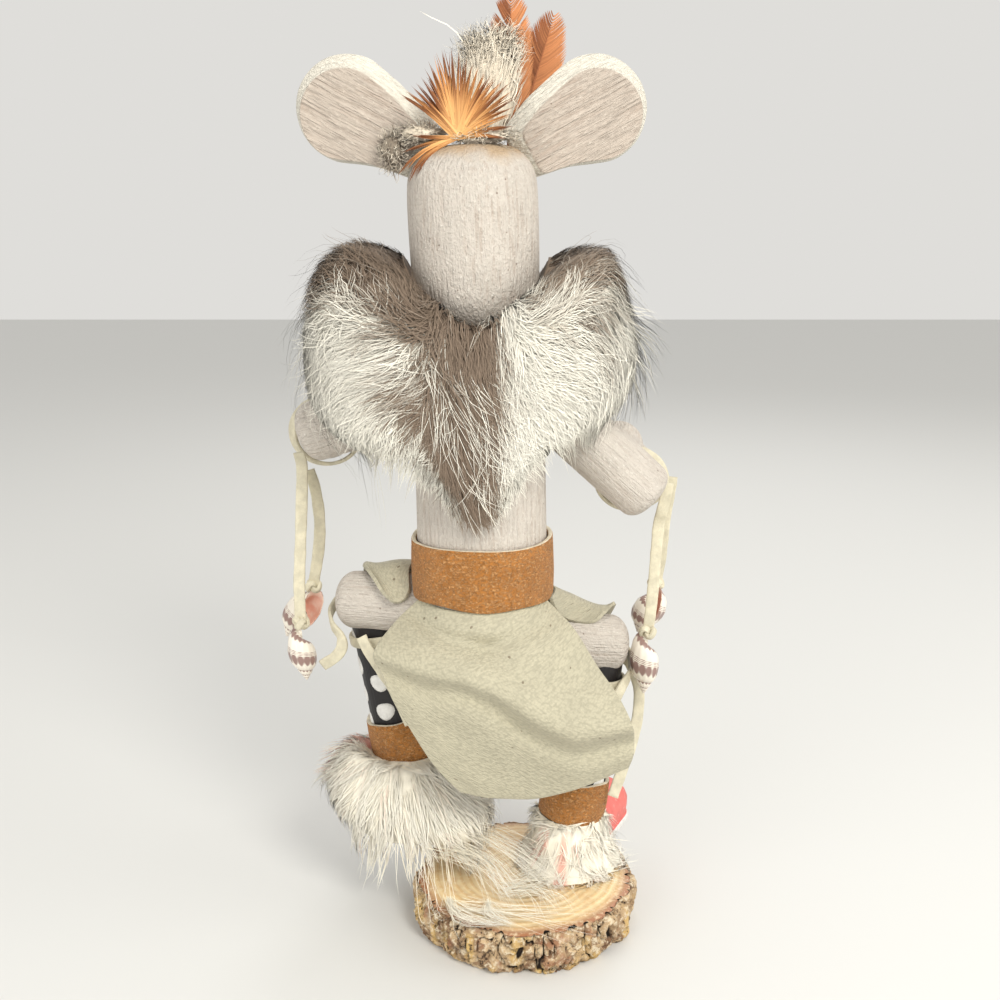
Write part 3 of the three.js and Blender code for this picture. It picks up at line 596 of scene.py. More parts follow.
@cache
def dot_paint():
    material, net, join = new_material("dot_paint", 0.6, 0.4)
    place = net.object_place()
    join("Base Color", mottled(net, place, (0.80, 0.79, 0.76), 600.0, 0.16))
    join("Normal", net.bump(net.noise(place, 900.0, detail=2.0), 0.5, 0.0003))
    return material


@cache
def red_paint():
    material, net, join = new_material("red_paint", 0.5, 0.45)
    place = net.object_place()
    pale = net.ramp(net.noise(place, 420.0, detail=3.0), 0.60, 0.72, 0.0, 0.45)
    join("Base Color", net.mix(pale, mottled(net, place, colours().red, 160.0, 0.22), (0.86, 0.42, 0.37)))
    join("Normal", net.bump(net.noise(place, 700.0, detail=3.0), 0.35, 0.0004))
    return material


@cache
def suede():
    """Suede with a strong nap: rusty ground, dark hollows and bright fibre ends."""
    material, net, join = new_material("suede", 0.95, 0.15, Sheen_Weight=0.15, Sheen_Roughness=0.5)
    place = net.object_place()
    base = np.array(colours().suede)
    hollow = net.ramp(net.noise(place, 1100.0, detail=4.0, roughness=0.75), 0.50, 0.40, 0.0, 0.75)
    dark = net.mix(hollow, mottled(net, place, base, 230.0, 0.25), tuple(base * 0.45))
    ends = net.noise(net.stretched(place, (1.0, 1.0, 1.6)), 980.0, detail=4.0, roughness=0.8)
    tips = net.ramp(ends, 0.50, 0.60, 0.0, 0.85)
    join("Base Color", net.mix(tips, dark, tuple(np.minimum(base * (1.6, 2.1, 3.4), 1))))
    join("Normal", net.bump(net.plus(napped(net, place, 950.0)["Height"], tips), 0.8, 0.0006))
    return material


@cache
def cut_edge():
    """The pale core of suede where it is cut."""
    material, net, join = new_material("suede_cut_edge", 0.95, 0.15)
    join("Base Color", mottled(net, net.object_place(), (0.78, 0.70, 0.55), 500.0, 0.3))
    return material


@cache
def buckskin():
    """Thin split leather: a pebbled grain with slanting rows, small dark pores and a few pale scuffs."""
    material, net, join = new_material("buckskin", 0.74, 0.3, Sheen_Weight=0.12, Sheen_Roughness=0.4)
    place = net.attribute("grain")
    base = np.array(colours().buckskin)
    rows = net.node("ShaderNodeMapping", {"Vector": place, "Rotation": (0, 0, math.radians(32)),
                                          "Scale": (0.75, 1.0, 1.0)})
    pebble = net.cells(rows, 1250.0, feature="SMOOTH_F1", randomness=0.55)
    fine = net.noise(place, 2100.0, detail=2.0)
    seam = net.ramp(pebble, 0.30, 0.58, 0.0, 0.6)
    grainy = net.mix(seam, mottled(net, place, base, 80.0, 0.10), tuple(base * 0.66))
    scuffed = net.mix(net.ramp(fine, 0.56, 0.70, 0.0, 0.35), grainy, tuple(np.minimum(base * 1.25, 1)))
    pick = net.split(net.cells(place, 235.0, out="Color"))[0]
    pore = net.math("LESS_THAN", net.cells(place, 235.0), net.ramp(pick, 0.05, 1.0, 0.03, 0.105))
    join("Base Color", net.mix(net.times(pore, 0.72), scuffed, (0.16, 0.12, 0.08)))
    height = net.math("SUBTRACT", net.times(fine, 0.3), net.plus(pebble, pore))
    join("Normal", net.bump(height, 0.7, 0.0006))
    return material


@cache
def thong_leather():
    material, net, join = new_material("thong", 0.62, 0.4)
    place = net.object_place()
    ground = mottled(net, place, colours().thong, 300.0, 0.22)
    nap = napped(net, place, 1800.0)
    join("Base Color", net.mix(net.times(nap["Fibres"], 0.18), ground, (0.42, 0.34, 0.20)))
    join("Normal", net.bump(nap["Height"], 0.35, 0.0004))
    return material


@cache
def coat_effect():
    """The way a hair faces for the light: mostly the way of the fur that it lies in, so fur is lit as one body."""
    net, given, give, tree = effect("Coat", {"Coat": ("vector", None), "Share": ("value", 0.7),
                                             "Two sided": ("value", 0.0)}, {"Normal": "vector"})
    own = net.node("ShaderNodeNewGeometry", out="Normal")
    along = net.vectors("DOT_PRODUCT", own, given["Coat"], out="Value")
    behind = net.times(net.math("LESS_THAN", along, 0.0), given["Two sided"])
    body = net.scaled(given["Coat"], net.times(given["Share"], net.math("SUBTRACT", 1.0, net.times(behind, 2.0))))
    hair_part = net.scaled(own, net.math("SUBTRACT", 1.0, given["Share"]))
    give("Normal", net.vectors("NORMALIZE", net.vectors("ADD", body, hair_part)))
    return tree


def hair(name, light_root, light_tip, dark_root, dark_tip, coat=0.92, two_sided=0.0):
    """Fur. The hair's own marks are its place along the hair, its tone (0 pale to 1 dark) and a chance value."""
    material, net, join = new_material(name, 0.62, 0.25)
    along, tone, chance = net.split(net.attribute("hair"))
    pale = net.mix(along, light_root, light_tip)
    dark = net.mix(along, dark_root, dark_tip)
    colour = net.mix(net.ramp(tone, 0.08, 0.72), pale, dark)
    bright = net.ramp(chance, 0.0, 1.0, 0.86, 1.08)
    join("Base Color", net.mix(1.0, colour, net.grey(bright), "MULTIPLY"))
    join("Normal", net.group(coat_effect(), Coat=net.attribute("coat"), Share=coat,
                             Two_sided=two_sided)["Normal"])
    return material


@cache
def mantle_hair():
    return hair("mantle_hair", (0.93, 0.88, 0.74), (0.99, 0.96, 0.86), (0.085, 0.056, 0.038), (0.30, 0.225, 0.165))


@cache
def anklet_hair():
    return hair("anklet_hair", (0.94, 0.86, 0.68), (0.99, 0.96, 0.86), (0.78, 0.34, 0.26), (0.95, 0.66, 0.54))


@cache
def down_hair():
    return hair("down_hair", (0.90, 0.76, 0.58), (0.97, 0.90, 0.76), (0.13, 0.105, 0.085), (0.50, 0.41, 0.31))


@cache
def hackle_barbs():
    return hair("hackle_barbs", (0.84, 0.50, 0.20), tuple(colours().hackle), (0.42, 0.15, 0.04),
                (0.17, 0.06, 0.025), coat=0.5, two_sided=1.0)


@cache
def brown_barbs():
    return hair("brown_barbs", (0.50, 0.19, 0.07), (0.60, 0.25, 0.10), (0.20, 0.065, 0.025), (0.30, 0.10, 0.04),
                coat=0.6, two_sided=1.0)


@cache
def shell_finish():
    """A glossy shell. Its marks are the turns of the whorl, the place around the whorl, and 1 inside the mouth."""
    material, net, join = new_material("sea_shell", 0.28, 0.5)
    turn, across, inside = net.split(net.attribute("shell"))
    rib = net.wave(net.times(turn, 2 * math.pi * 13))
    band = net.wave(net.plus(net.times(across, 2 * math.pi * 4), 0.6))
    patchy = net.noise(net.object_place(), 260.0, detail=3.0)
    brown = net.times(net.ramp(net.plus(net.times(rib, -0.35), net.plus(band, patchy)), 0.55, 1.25), 0.85)
    outside = net.mix(brown, (0.86, 0.80, 0.70), (0.20, 0.085, 0.075))
    mouth = net.mix(net.ramp(patchy, 0.35, 0.65), (0.78, 0.40, 0.30), (0.86, 0.62, 0.52))
    join("Base Color", net.mix(inside, outside, mouth))
    join("Normal", net.bump(patchy, 0.15, 0.0005))
    return material


@cache
def bark_finish():
    """Bark. Its mark holds how far the surface stands out, and a chance value of the flake it lies on."""
    material, net, join = new_material("bark", 0.85, 0.3)
    relief, flake, _ = net.split(net.attribute("bark"))
    place = net.object_place()
    fine = net.noise(place, 480.0, detail=5.0, roughness=0.72)
    chunk = net.split(net.cells(place, 330.0, out="Color"))[0]
    brown = net.mix(chunk, (0.24, 0.13, 0.07), (0.74, 0.54, 0.32))
    gold = net.mix(net.ramp(flake, 0.55, 0.85, 0.0, 0.8), brown, (0.80, 0.54, 0.20))
    # Painted highlight: the high points of the fine bump are painted pale.
    pale = net.mix(net.ramp(fine, 0.50, 0.62, 0.0, 0.9), gold, (0.88, 0.76, 0.56))
    rust = net.mix(net.ramp(net.noise(place, 150.0, detail=2.0), 0.56, 0.68, 0.0, 0.6), pale, (0.36, 0.14, 0.07))
    # Painted shade: the low points of the fine bump are painted nearly black.
    shaded_pits = net.mix(net.ramp(fine, 0.44, 0.36, 0.0, 0.9), rust, (0.05, 0.03, 0.02))
    # Painted shade: deep in the cracks, where the mark says the surface lies low, the bark is painted nearly black.
    join("Base Color", net.mix(net.ramp(relief, 0.12, 0.5), (0.022, 0.014, 0.010), shaded_pits))
    join("Normal", net.bump(fine, 1.0, 0.0016))
    return material


@cache
def sawn_wood():
    """The slab's sawn face: growth rings round the pith, darker towards the bark, under a worn varnish."""
    material, net, join = new_material("sawn_wood", 0.42, 0.5)
    place = net.object_place()
    wander = net.noise(place, 45.0, detail=2.0)
    far = net.vectors("LENGTH", net.vectors("MULTIPLY", place, (1.0, 1.0, 0.0)), out="Value")
    reach = net.plus(far, net.times(wander, 0.006))
    rings = net.wave(net.times(reach, 2 * math.pi / 0.0026))
    fleck = net.noise(net.stretched(place, (1.0, 1.0, 0.2)), 900.0, detail=3.0)
    pale = net.mix(net.ramp(rings, -0.4, 1.0), (0.90, 0.69, 0.39), (0.82, 0.57, 0.28))
    blot = net.ramp(net.noise(place, 90.0, detail=3.0), 0.50, 0.70, 0.0, 0.45)
    worn = net.mix(blot, pale, (0.66, 0.38, 0.18))
    rim = net.mix(net.ramp(reach, 0.0325, 0.0380), worn, (0.40, 0.17, 0.08))
    join("Base Color", net.mix(net.ramp(fleck, 0.45, 0.75, 0.0, 0.6), rim, (0.95, 0.82, 0.56)))
    join("Roughness", net.ramp(fleck, 0.3, 0.7, 0.30, 0.55))
    join("Normal", net.bump(net.plus(rings, net.times(fleck, 2.0)), 0.25, 0.0003))
    return material


@cache
def floor_finish():
    material, _, _ = new_material("floor", 0.7, 0.3)
    material.node_tree.nodes["Principled BSDF"].inputs["Base Color"].default_value = (0.70, 0.70, 0.685, 1)
    return material


# ---- the slab

def make_base():
    """The branch slab: a sawn face, a flat foot, and bark with flakes and deep cracks between.

    The bark's radius is the solid's own outline, less cracks where two directions of noise cross zero, plus
    a step for each flake."""
    radius = mm(sizes().base_radius)
    sides, rows = 420, 28
    angle = circle(sides)
    share = np.linspace(0, 1, rows)
    height = np.interp(share, [0, 1], [0, BASE_HEIGHT])[:, None]
    swell = np.interp(height[:, 0], [0, 2.2, 6.5, 11.8, BASE_HEIGHT], [-2, -0.6, 0.4, 0.1, -1])[:, None]
    oval = 0.5 * np.sin(2 * angle + 0.6) - 1.3 * np.sin(angle) - 0.5
    ridges = 0.55 * np.sin(9 * angle + 0.25 * height) + 0.4 * np.sin(14 * angle + 2 - 0.15 * height)
    outline = radius + swell + oval + ridges
    ring = around(outline, np.degrees(angle)[None], height)
    flow = ring * np.array([1, 1, 0.42])
    crack = np.abs(cloud(flow, 3.3, 3) + 0.5 * cloud(flow, 1.9, 4))
    cross = np.abs(cloud(ring * np.array([1, 1, 1.7]), 5.0, 8) + 0.4 * cloud(ring, 2.4, 9))
    depth = np.maximum(1 - smooth(crack, 0, 0.20), 0.7 * (1 - smooth(cross, 0, 0.13)))
    flake = 0.5 + 0.5 * cloud(flow, 3.6, 5)
    rough = cloud(ring, 1.3, 6) + 0.6 * cloud(ring, 0.7, 7)
    relief = 1 - depth
    out = outline - 2.0 * depth + 1.5 * (flake - 0.5) + 0.50 * rough
    out[0] = out[0] - 0.5
    sides_of_slab = around(out, np.degrees(angle)[None], height)
    foot = around(out[:1] * np.array([[0.98], [0.5]]), np.degrees(angle)[None], 0.0)[::-1]
    inward = np.array([0.985, 0.965, 0.93, 0.85, 0.7, 0.5, 0.25])[:, None]
    level = BASE_HEIGHT + 0.05 - 0.25 * smooth(inward, 0.93, 1.0)
    edge = (radius - 1 + oval + 0.5 * ridges[-1:]) * 0.6 + out[-1:] * 0.4
    face = around(edge * inward, np.degrees(angle)[None], level)
    rings = np.concatenate([foot, sides_of_slab, face])
    points, faces = capped(rings, (0, 0, 0), (0, 0, BASE_HEIGHT + 0.05))
    marks = np.zeros((len(points), 3))
    marks[2 * sides:(rows + 2) * sides, 0] = relief.ravel()
    marks[2 * sides:(rows + 2) * sides, 1] = flake.ravel()
    row_of_face = np.repeat(np.arange(len(rings) - 1), sides)
    finish = np.concatenate([(row_of_face >= rows + 2).astype(int), np.zeros(sides, int), np.ones(sides, int)])
    finish[:2 * sides] = 1
    put("slab", points, faces, bark_finish(), ["base_slab"],
        materials=[sawn_wood()], face_material=finish, attributes={"bark": marks})


# ---- torso, head and ears

def make_body():
    """Torso and head: two turned solids, the head with flats left by the knife under its rim."""
    r = mm(sizes().torso_radius)
    torso = [(0, TORSO_BOTTOM), (r - 5, TORSO_BOTTOM), (r - 1.2, TORSO_BOTTOM + 2.5), (r, TORSO_BOTTOM + 7),
             (r, 118), (r - 0.3, 150), (r - 0.5, TORSO_TOP - 6), (r - 4, TORSO_TOP - 1), (r - 7, TORSO_TOP),
             (0, TORSO_TOP)]
    white = painted_wood("body")
    turned("torso_wood", torso, on_figure, white, "white_paint", ["torso"], sides=84)
    r, top = mm(sizes().head_radius), HEAD_HEIGHT
    head = [(0, 0), (r - 10, 0), (r - 5.2, 2.2), (r - 2, 6.2), (r - 0.4, 12), (r, 24), (r, top - 11),
            (r - 1.3, top - 6.5), (r - 4.2, top - 2.8), (r - 8.5, top - 0.6), (0, top)]

    def knife_cuts(rings):
        """Nine flats around the lower rim and a slow waver of the wall."""
        angle = np.degrees(np.arctan2(rings[..., 1], rings[..., 0]))
        height = rings[..., 2]
        flat = 1 - np.cos(np.radians((angle * 9 / 360 % 1 - 0.5) * 40))
        low = 1 - smooth(height, 2, 13)
        waver = 0.006 * cloud(rings * np.array([1, 1, 0.5]), 9, 2)
        scale = 1 - 0.35 * low * (0.06 - flat) + waver
        return rings * np.stack([scale, scale, np.ones_like(scale)], axis=-1)

    turned("head_wood", head, on_head, painted_wood("head"), "white_paint", ["head"], sides=84,
           shape=knife_cuts)


def make_ears():
    """Flat paddles: layers of one outline, the back ones drawn in for the bevel, the front ones rounded."""
    thickness = 7
    centre = EAR_LENGTH - EAR_TIP_RADIUS
    arc = np.radians(np.linspace(-104.4, 104.4, 60))
    tip = np.stack([centre + EAR_TIP_RADIUS * np.cos(arc), EAR_TIP_RADIUS * np.sin(arc)], axis=-1)
    outline = np.concatenate([[[-6, -EAR_ROOT_HALF + 0.5], [6, -EAR_ROOT_HALF - 1.6]], tip,
                              [[4, EAR_ROOT_HALF + 2.8], [-6, EAR_ROOT_HALF - 1.5]]])
    outline = evenly(outline, 132, closed=True)
    for _ in range(6):
        outline = 0.5 * outline + 0.25 * (np.roll(outline, 1, 0) + np.roll(outline, -1, 0))
    # Depth as a share of the thickness, how far the outline shrinks, and how far it slides off the bevel.
    layers = [(-0.5, 11.5, 2.3), (-0.5, 3.0, 2.25), (-0.5, 2.75, 2.2), (-0.49, 2.6, 2.1), (-0.46, 2.4, 1.95),
              (-0.12, 0.5, 0.4), (-0.08, 0.3, 0.25), (0.0, 0, 0), (0.3, 0.1, 0), (0.44, 0.6, 0), (0.5, 1.8, 0),
              (0.5, 8, 0)]
    for where, side in (("left", -1), ("right", 1)):
        rings, own = [], []
        for depth, shrink, slide in layers:
            keep = 1 - shrink / EAR_TIP_RADIUS
            along = centre + (outline[:, 0] - centre) * keep
            across = outline[:, 1] * keep - slide
            own.append(np.stack([across, np.full_like(across, depth * thickness), along], axis=-1))
            out = along * math.cos(EAR_TILT) - across * math.sin(EAR_TILT)
            up = along * math.sin(EAR_TILT) + across * math.cos(EAR_TILT)
            rings.append(np.stack([side * out, np.full_like(out, depth * thickness), up], axis=-1))
        rings, own = np.array(rings), np.array(own)
        waver = 0.16 * cloud(rings, 5, 11 + side)[..., None]
        rings = rings + waver * np.array([1, 1.2, 1])
        if side > 0:
            rings, own = rings[:, ::-1], own[:, ::-1]
        points, faces = capped(rings, rings[0].mean(axis=0), rings[-1].mean(axis=0))
        own = np.concatenate([own.reshape(-1, 3), [own[0].mean(axis=0)], [own[-1].mean(axis=0)]])
        points = lean(points, -(LEAN + HEAD_LEAN))
        at = np.array([side * (mm(sizes().head_radius) - 1.6) + 0.2, 2, HEAD_HEIGHT + 0.1 - 0.6 * side])
        put(f"ear_{where}_wood", on_head(points + at), faces, painted_wood("ear"),
            [f"ear_{where}"], attributes={"grain": own * MM})


# ---- arms and legs

def dowel(length, radius, tip_round):
    """Profile of a dowel with a flat root and a rounded tip."""
    turn = np.radians([25, 50, 70, 90])
    tip = [(radius - tip_round * (1 - math.cos(a)), length - tip_round * (1 - math.sin(a))) for a in turn]
    return [(0, 0), (radius, 0), (radius, length * 0.5), (radius, length - tip_round), *tip, (0, length)]


def fist_profile(length, radius):
    """Profile of a forearm that narrows at the wrist and swells again to a fist."""
    return [(0, 0), (5.4, 0), (radius, 4), (radius, 12), (7.3, length - 11.5), (8.7, length - 8), (8.7, length - 4),
            (6.4, length - 0.8), (0, length)]


def shin_profile(length, radius):
    """Profile of a shin, a little thinner than the other dowels."""
    r = radius - 0.2
    return [(0, 0), (radius - 1, 0), (r, 1), (r, length * 0.5), (r, length - 1), (radius - 1, length), (0, length)]


def make_limbs():
    """Arms, thighs and shins: turned dowels stood along the lines between the joints."""
    r = mm(sizes().limb_radius)
    white, black = (painted_wood("body"), "white_paint"), (black_paint(), "black_paint")
    for where, limb in LIMBS.items():
        kneecap, ankle = limb["kneecap"], limb["ankle"]
        foot = ankle + unit(ankle - kneecap) * 4
        pieces = {
            "upper_arm": (limb["shoulder"], limb["elbow"], lambda reach: dowel(reach, r, 4.2), white),
            "forearm": (limb["forearm"], limb["fist"], lambda reach: fist_profile(reach, r), white),
            "thigh": (limb["hip"], limb["knee"], lambda reach: dowel(reach, r, 5), white),
            "shin": (foot, kneecap, lambda reach: shin_profile(reach, r), black),
        }
        for name, (start, end, profile, paint_and_slot) in pieces.items():
            turned(f"{name}_{where}_wood", profile(np.linalg.norm(end - start)), lambda p: stand(p, start, end),
                   *paint_and_slot, [f"{name}_{where}"])
        make_dots(where, foot, kneecap, r - 0.2)
        make_moccasin(where, ankle, limb["toe_angle"])


DOT_ROWS = 4
DOT_COLUMNS = 6
DOT_STEP = 9.9        # from one row to the next; every other column stands half a step higher
DOT_RADIUS = 3.15
FIRST_DOT = {"left": 252.0, "right": 262.0}      # angle of the first column


def make_dots(where, foot, kneecap, radius):
    """Round dabs of thick white paint on the shin, in staggered rows: low domes bent around the dowel."""
    rings, spokes = 4, 16
    turn = circle(spokes)
    share = np.linspace(1, 0.2, rings)[:, None]
    solids = []
    for row in range(DOT_ROWS):
        for column in range(DOT_COLUMNS):
            angle = FIRST_DOT[where] + 360 / DOT_COLUMNS * column
            height = 12.9 + DOT_STEP * row + (DOT_STEP / 2 if column % 2 else 0)
            size = DOT_RADIUS * (1 + 0.10 * math.sin(3.1 * row + 1.7 * column))
            wobble = 1 + 0.07 * np.sin(2 * turn + row + column) + 0.05 * np.sin(3 * turn + 2 * column)
            across = share * size * wobble * np.cos(turn)
            up = share * size * wobble * np.sin(turn)
            dome = radius + 0.05 + 0.32 * (1 - share ** 3)
            skirt = around(radius - 0.3, angle + np.degrees(across[:1] / radius), height + up[:1])
            cap = around(np.broadcast_to(dome, across.shape), angle + np.degrees(across / radius), height + up)
            ring = np.concatenate([skirt, cap])
            points, faces = capped(ring, around(radius - 0.3, angle, height), around(radius + 0.38, angle, height))
            solids.append((points, faces, points))
    points, faces, _ = joined(*solids)
    put(f"dots_{where}", stand(points, foot, kneecap), faces, dot_paint())


def make_moccasin(where, ankle, toe_angle):
    """A carved shoe: heel and toe arcs joined by flanks, drawn in layer by layer, on a white sole."""
    heel, toe = SOLE_HALF_WIDTH * 0.92, SOLE_HALF_WIDTH
    back = np.radians(np.linspace(180, 360, 40))
    front = np.radians(np.linspace(0, 180, 40))
    far = SOLE_LENGTH - heel - toe
    line = np.concatenate([np.stack([heel * np.cos(back), heel * np.sin(back)], axis=-1),
                           np.stack([toe * np.cos(front), far + toe * np.sin(front)], axis=-1)])
    line = evenly(line, 96, closed=True)
    middle = far / 2
    layers = [(0, 1.6), (0.01, 0.4), (0.05, 0), (0.17, 0), (0.205, 0.25), (0.22, 0.7), (0.30, 0.55), (0.45, 0.3),
              (0.62, 0.25), (0.76, 0.9), (0.86, 1.9), (0.94, 3.4), (1, 5.6), (1.02, 7.5)]
    rings = []
    for share, inset in layers:
        x = line[:, 0] * (1 - inset / toe)
        y = middle + (line[:, 1] - middle) * (1 - inset / (SOLE_LENGTH / 2))
        drop = 2.6 * smooth(y, 8, SOLE_LENGTH - heel) * min(share, 1)
        rings.append(np.stack([x, y, min(share, 1) * FOOT_HEIGHT - drop], axis=-1))
    rings = np.array(rings)
    points, faces = capped(rings, (0, middle, 0), (0, middle, rings[-1][:, 2].mean()))
    points = turn_about(points, (0, 0, 1), -toe_angle)
    heel_back = turn_about(np.array([0, -5.0, 0]), (0, 0, 1), -toe_angle)
    at = ankle + heel_back
    at[2] = ankle[2] - FOOT_HEIGHT
    sides = line.shape[0]
    row_of_face = np.repeat(np.arange(len(layers) - 1), sides)
    finish = np.concatenate([(row_of_face < 4).astype(int), np.ones(sides, int), np.zeros(sides, int)])
    put(f"moccasin_{where}_wood", points + at, faces, red_paint(), [f"moccasin_{where}"],
        materials=[dot_paint()], face_material=finish)


# ---- fur

SKIN = 20.9           # radius of the mantle's skin around the torso
MANTLE_HEM = 0.86     # share of the profile where the fur starts to hang
ANKLET_HEM = 0.74


def rows_of(angle, *rows):
    """Profiles (radius, height) for every angle, from rows that may be plain numbers: (..., rows, 2)."""
    return np.stack([stacked(*row, angle)[..., :2] for row in rows], axis=-2)


def even(tone):
    """The same tone all over a pelt."""
    return lambda angle, share: tone + 0 * angle


def mantle_outer(angle):
    """Outer profile of the mantle at each angle (degrees), from the neck over the top to the bottom."""
    right, left = near(angle, 0, 78), near(angle, 180, 78)
    sideways = right + left
    back, puff = near(angle, 268, 40), near(angle, 205, 40)
    top = 196 + 22 * np.clip(near(angle, 0, 104) + near(angle, 180, 104), 0, 1)
    bottom = 160 + 6 * sideways - 14 * back - 6 * puff
    bulge = SKIN + 9 + 19 * left + 15.5 * right + 2 * puff
    middle = (top + bottom) / 2
    return rows_of(angle, (SKIN, top - 8 + 6 * left + 4.5 * right), (SKIN + 3 + 10 * sideways, top - 1 + left - right),
                   (SKIN + 6 + 17 * left + 13 * right, top - 5), (bulge - 2 * right, middle + 9),
                   (bulge + 1.6 * sideways, middle - 4), (bulge - 1, bottom + 9), (SKIN + 7 + 9 * sideways, bottom),
                   (SKIN + 3, bottom - 1))


def mantle_flow(angle, share):
    """How the mantle is combed: (sideways, down). Above the crest it runs up and out from the neck, on the two
    back flanks outwards and then round to downwards, and between them straight down."""
    angle = angle % 360
    left, right, middle = near(angle, 214, 46), near(angle, 324, 44), near(angle, 268, 28)
    crest = (1 - smooth(share, 0.30, 0.44)) * smooth(share, 0.10, 0.20)
    low = smooth(share, 0.50, 0.80)
    past_left, past_right = smooth(235 - angle, 0, 42), smooth(angle - 302, 0, 40)
    down_left = 0.10 + 0.95 * np.maximum(past_left, low)
    down_right = 0.30 + 0.75 * np.maximum(past_right, low)
    side = -left * (1 - 0.60 * past_left * (1 - crest)) + right * (1 - 0.65 * past_right * (1 - crest))
    down = left * down_left + right * down_right + np.maximum(1 - left - right, 0)
    down = down - 1.25 * crest * (left + right)
    side = side + 0.42 * middle * smooth(share, 0.30, 0.5)
    seam = 1 - smooth(share, 0.04, 0.14)
    return side * (1 - seam), down * (1 - seam) + seam


def mantle_tone(angle, share):
    """How dark the mantle's fur is: grey over both shoulders' tops and down the middle of the back."""
    angle = angle % 360
    top = 1 - smooth(share, 0.30, 0.42)
    crown_left = 0.80 * top * smooth(angle, 120, 150) * (1 - smooth(angle, 262, 280))
    crown_right = 0.66 * top * np.maximum(smooth(angle, 288, 306), 1 - smooth(angle, 30, 60))
    chin = 1.0 * np.minimum(1, 1.6 * near(angle, 264, 30)) * (1 - smooth(share, 0.44, 0.54))
    low = smooth(share, 0.5, 0.9)
    tuft = 0.92 * np.minimum(1, 1.8 * near(angle - 9 * low, 257, 30 - 11 * low)) * smooth(share, 0.40, 0.50)
    flank = 0.60 * near(angle, 322, 30) * (1 - smooth(share, 0.52, 0.66))
    front = 0.55 * near(angle, 90, 80) * top
    return np.clip(np.maximum.reduce([crown_left, crown_right, chin, tuft, flank, front]), 0.03, 1)


def read_profile(profile, share):
    """Points of a profile (..., n, 2) at shares of its length (Catmull-Rom between its corners)."""
    n = profile.shape[-2]
    place = np.clip(share, 0, 1) * (n - 1)
    index = np.minimum(np.floor(place).astype(int), n - 2)
    t = (place - index)[..., None]
    p0, p1, p2, p3 = (np.take_along_axis(profile, np.clip(index + k, 0, n - 1)[..., None, None], axis=-2)[..., 0, :]
                      for k in (-1, 0, 1, 2))
    return 0.5 * (2 * p1 + (p2 - p0) * t + (2 * p0 - 5 * p1 + 4 * p2 - p3) * t ** 2 + (
        3 * (p1 - p2) + p3 - p0) * t ** 3)


def fur_place(outer, angle, share, hem):
    """A point on the outside of the fur, and the way it faces. Past the hem it hangs straight down.

    The way is the cross product of the steps down the profile and along the angle."""
    angle, share = np.broadcast_arrays(angle, share)
    kept = np.minimum(share, hem)

    def at(a, t):
        line = read_profile(outer(a), t)
        return around(line[..., 0], a, line[..., 1])
    here = at(angle, kept)
    before = at(angle, np.maximum(kept - 0.03, 0))
    after = at(angle, np.minimum(kept + 0.03, 1))
    step = np.linalg.norm(after - before, axis=-1) / 0.06
    facing = unit(np.cross(after - before, at(angle + 2, kept) - at(angle - 2, kept)))
    hang = np.maximum(share - hem, 0) * step
    inward = -0.25 * hang[..., None] * unit(here * np.array([1, 1, 0]))
    here = here + inward - hang[..., None] * np.array([0, 0, 1.0])
    return here, facing, step


def comb(rng, outer, flow, place, width, hem, locks, angle, share, reach, rise, tone, hairs=6, stations=4,
         spread=2.2, pinch=0.75, curl=0.6, stray=8, root=-2.4, fade=0.0, wide=1.0, turn=0.0):
    """Locks of hair on one part of a pelt. angle, share, reach and rise are each a range (low, high).

    A lock's middle line starts at an angle and a share and follows the flow for its reach. Its hairs start
    spread about the line, close up towards its tip, wave a little, and lift from the root to the rise."""
    a = rng.uniform(*angle, locks)
    t = rng.uniform(*share, locks)
    far = rng.uniform(*reach, locks)
    skew = rng.normal(0, stray, locks) + turn
    path_a, path_t = [a], [t]
    for _ in range(stations - 1):
        side, down = flow(a, t)
        way = unit(np.stack([side, down], axis=-1))
        c, s = np.cos(np.radians(skew)), np.sin(np.radians(skew))
        side, down = way[:, 0] * c - way[:, 1] * s, way[:, 0] * s + way[:, 1] * c
        here, _, step = fur_place(outer, a, t, hem)
        radius = np.linalg.norm(here[:, :2], axis=-1)
        a = a + np.degrees(side * far / (stations - 1) / radius)
        t = np.clip(t + down * far / (stations - 1) / step, 0.01, 1.6)
        path_a.append(a)
        path_t.append(t)
    path_a, path_t = np.stack(path_a, axis=-1)[:, None], np.stack(path_t, axis=-1)[:, None]
    s = np.linspace(0, 1, stations)[None, None]
    size = np.clip(rng.normal(1, 0.18, (locks, hairs, 1)), 0.55, 1.5)
    close = 1 - pinch * s ** 0.8
    off = rng.normal(0, spread, (2, locks, hairs, 1))
    wave = curl * np.sin(s * 4.2 + rng.uniform(0, 6.3, (2, locks, hairs, 1))) * s
    angle = path_a[..., :1] + (path_a - path_a[..., :1]) * size + (off[0] * close + wave[0]) * 1.7
    share = path_t[..., :1] + (path_t - path_t[..., :1]) * size + (off[1] * close + wave[1]) / 75
    here, facing, _ = fur_place(outer, angle, np.maximum(share, 0.01), hem)
    lift = rng.uniform(*rise, (locks, 1, 1)) + rng.normal(0, 0.25, (locks, hairs, 1))
    height = root * (1 - s) ** 2 + lift * s ** 1.4
    points = here + facing * height[..., None]
    own = tone(path_a[..., 0], path_t[..., 0])[..., None] + rng.normal(0, 0.09, (locks, 1, 1))
    tones = np.clip(own + rng.normal(0, 0.06, (locks, hairs, 1)) + fade * s, 0, 1)
    chance = 0.6 * rng.uniform(0, 1, (locks, 1, 1)) + 0.4 * rng.uniform(0, 1, (locks, hairs, 1))
    marks = marked(s, tones, chance, unit(facing + np.array([0, 0, 0.35])))
    thick = width * wide * (1 - 0.8 * s ** 1.5) * rng.uniform(0.7, 1.25, (locks, hairs, 1))
    count = locks * hairs
    return tufts(place(points.reshape(count, stations, 3)), thick.reshape(count, stations),
                 marks.reshape(count, stations, 6))


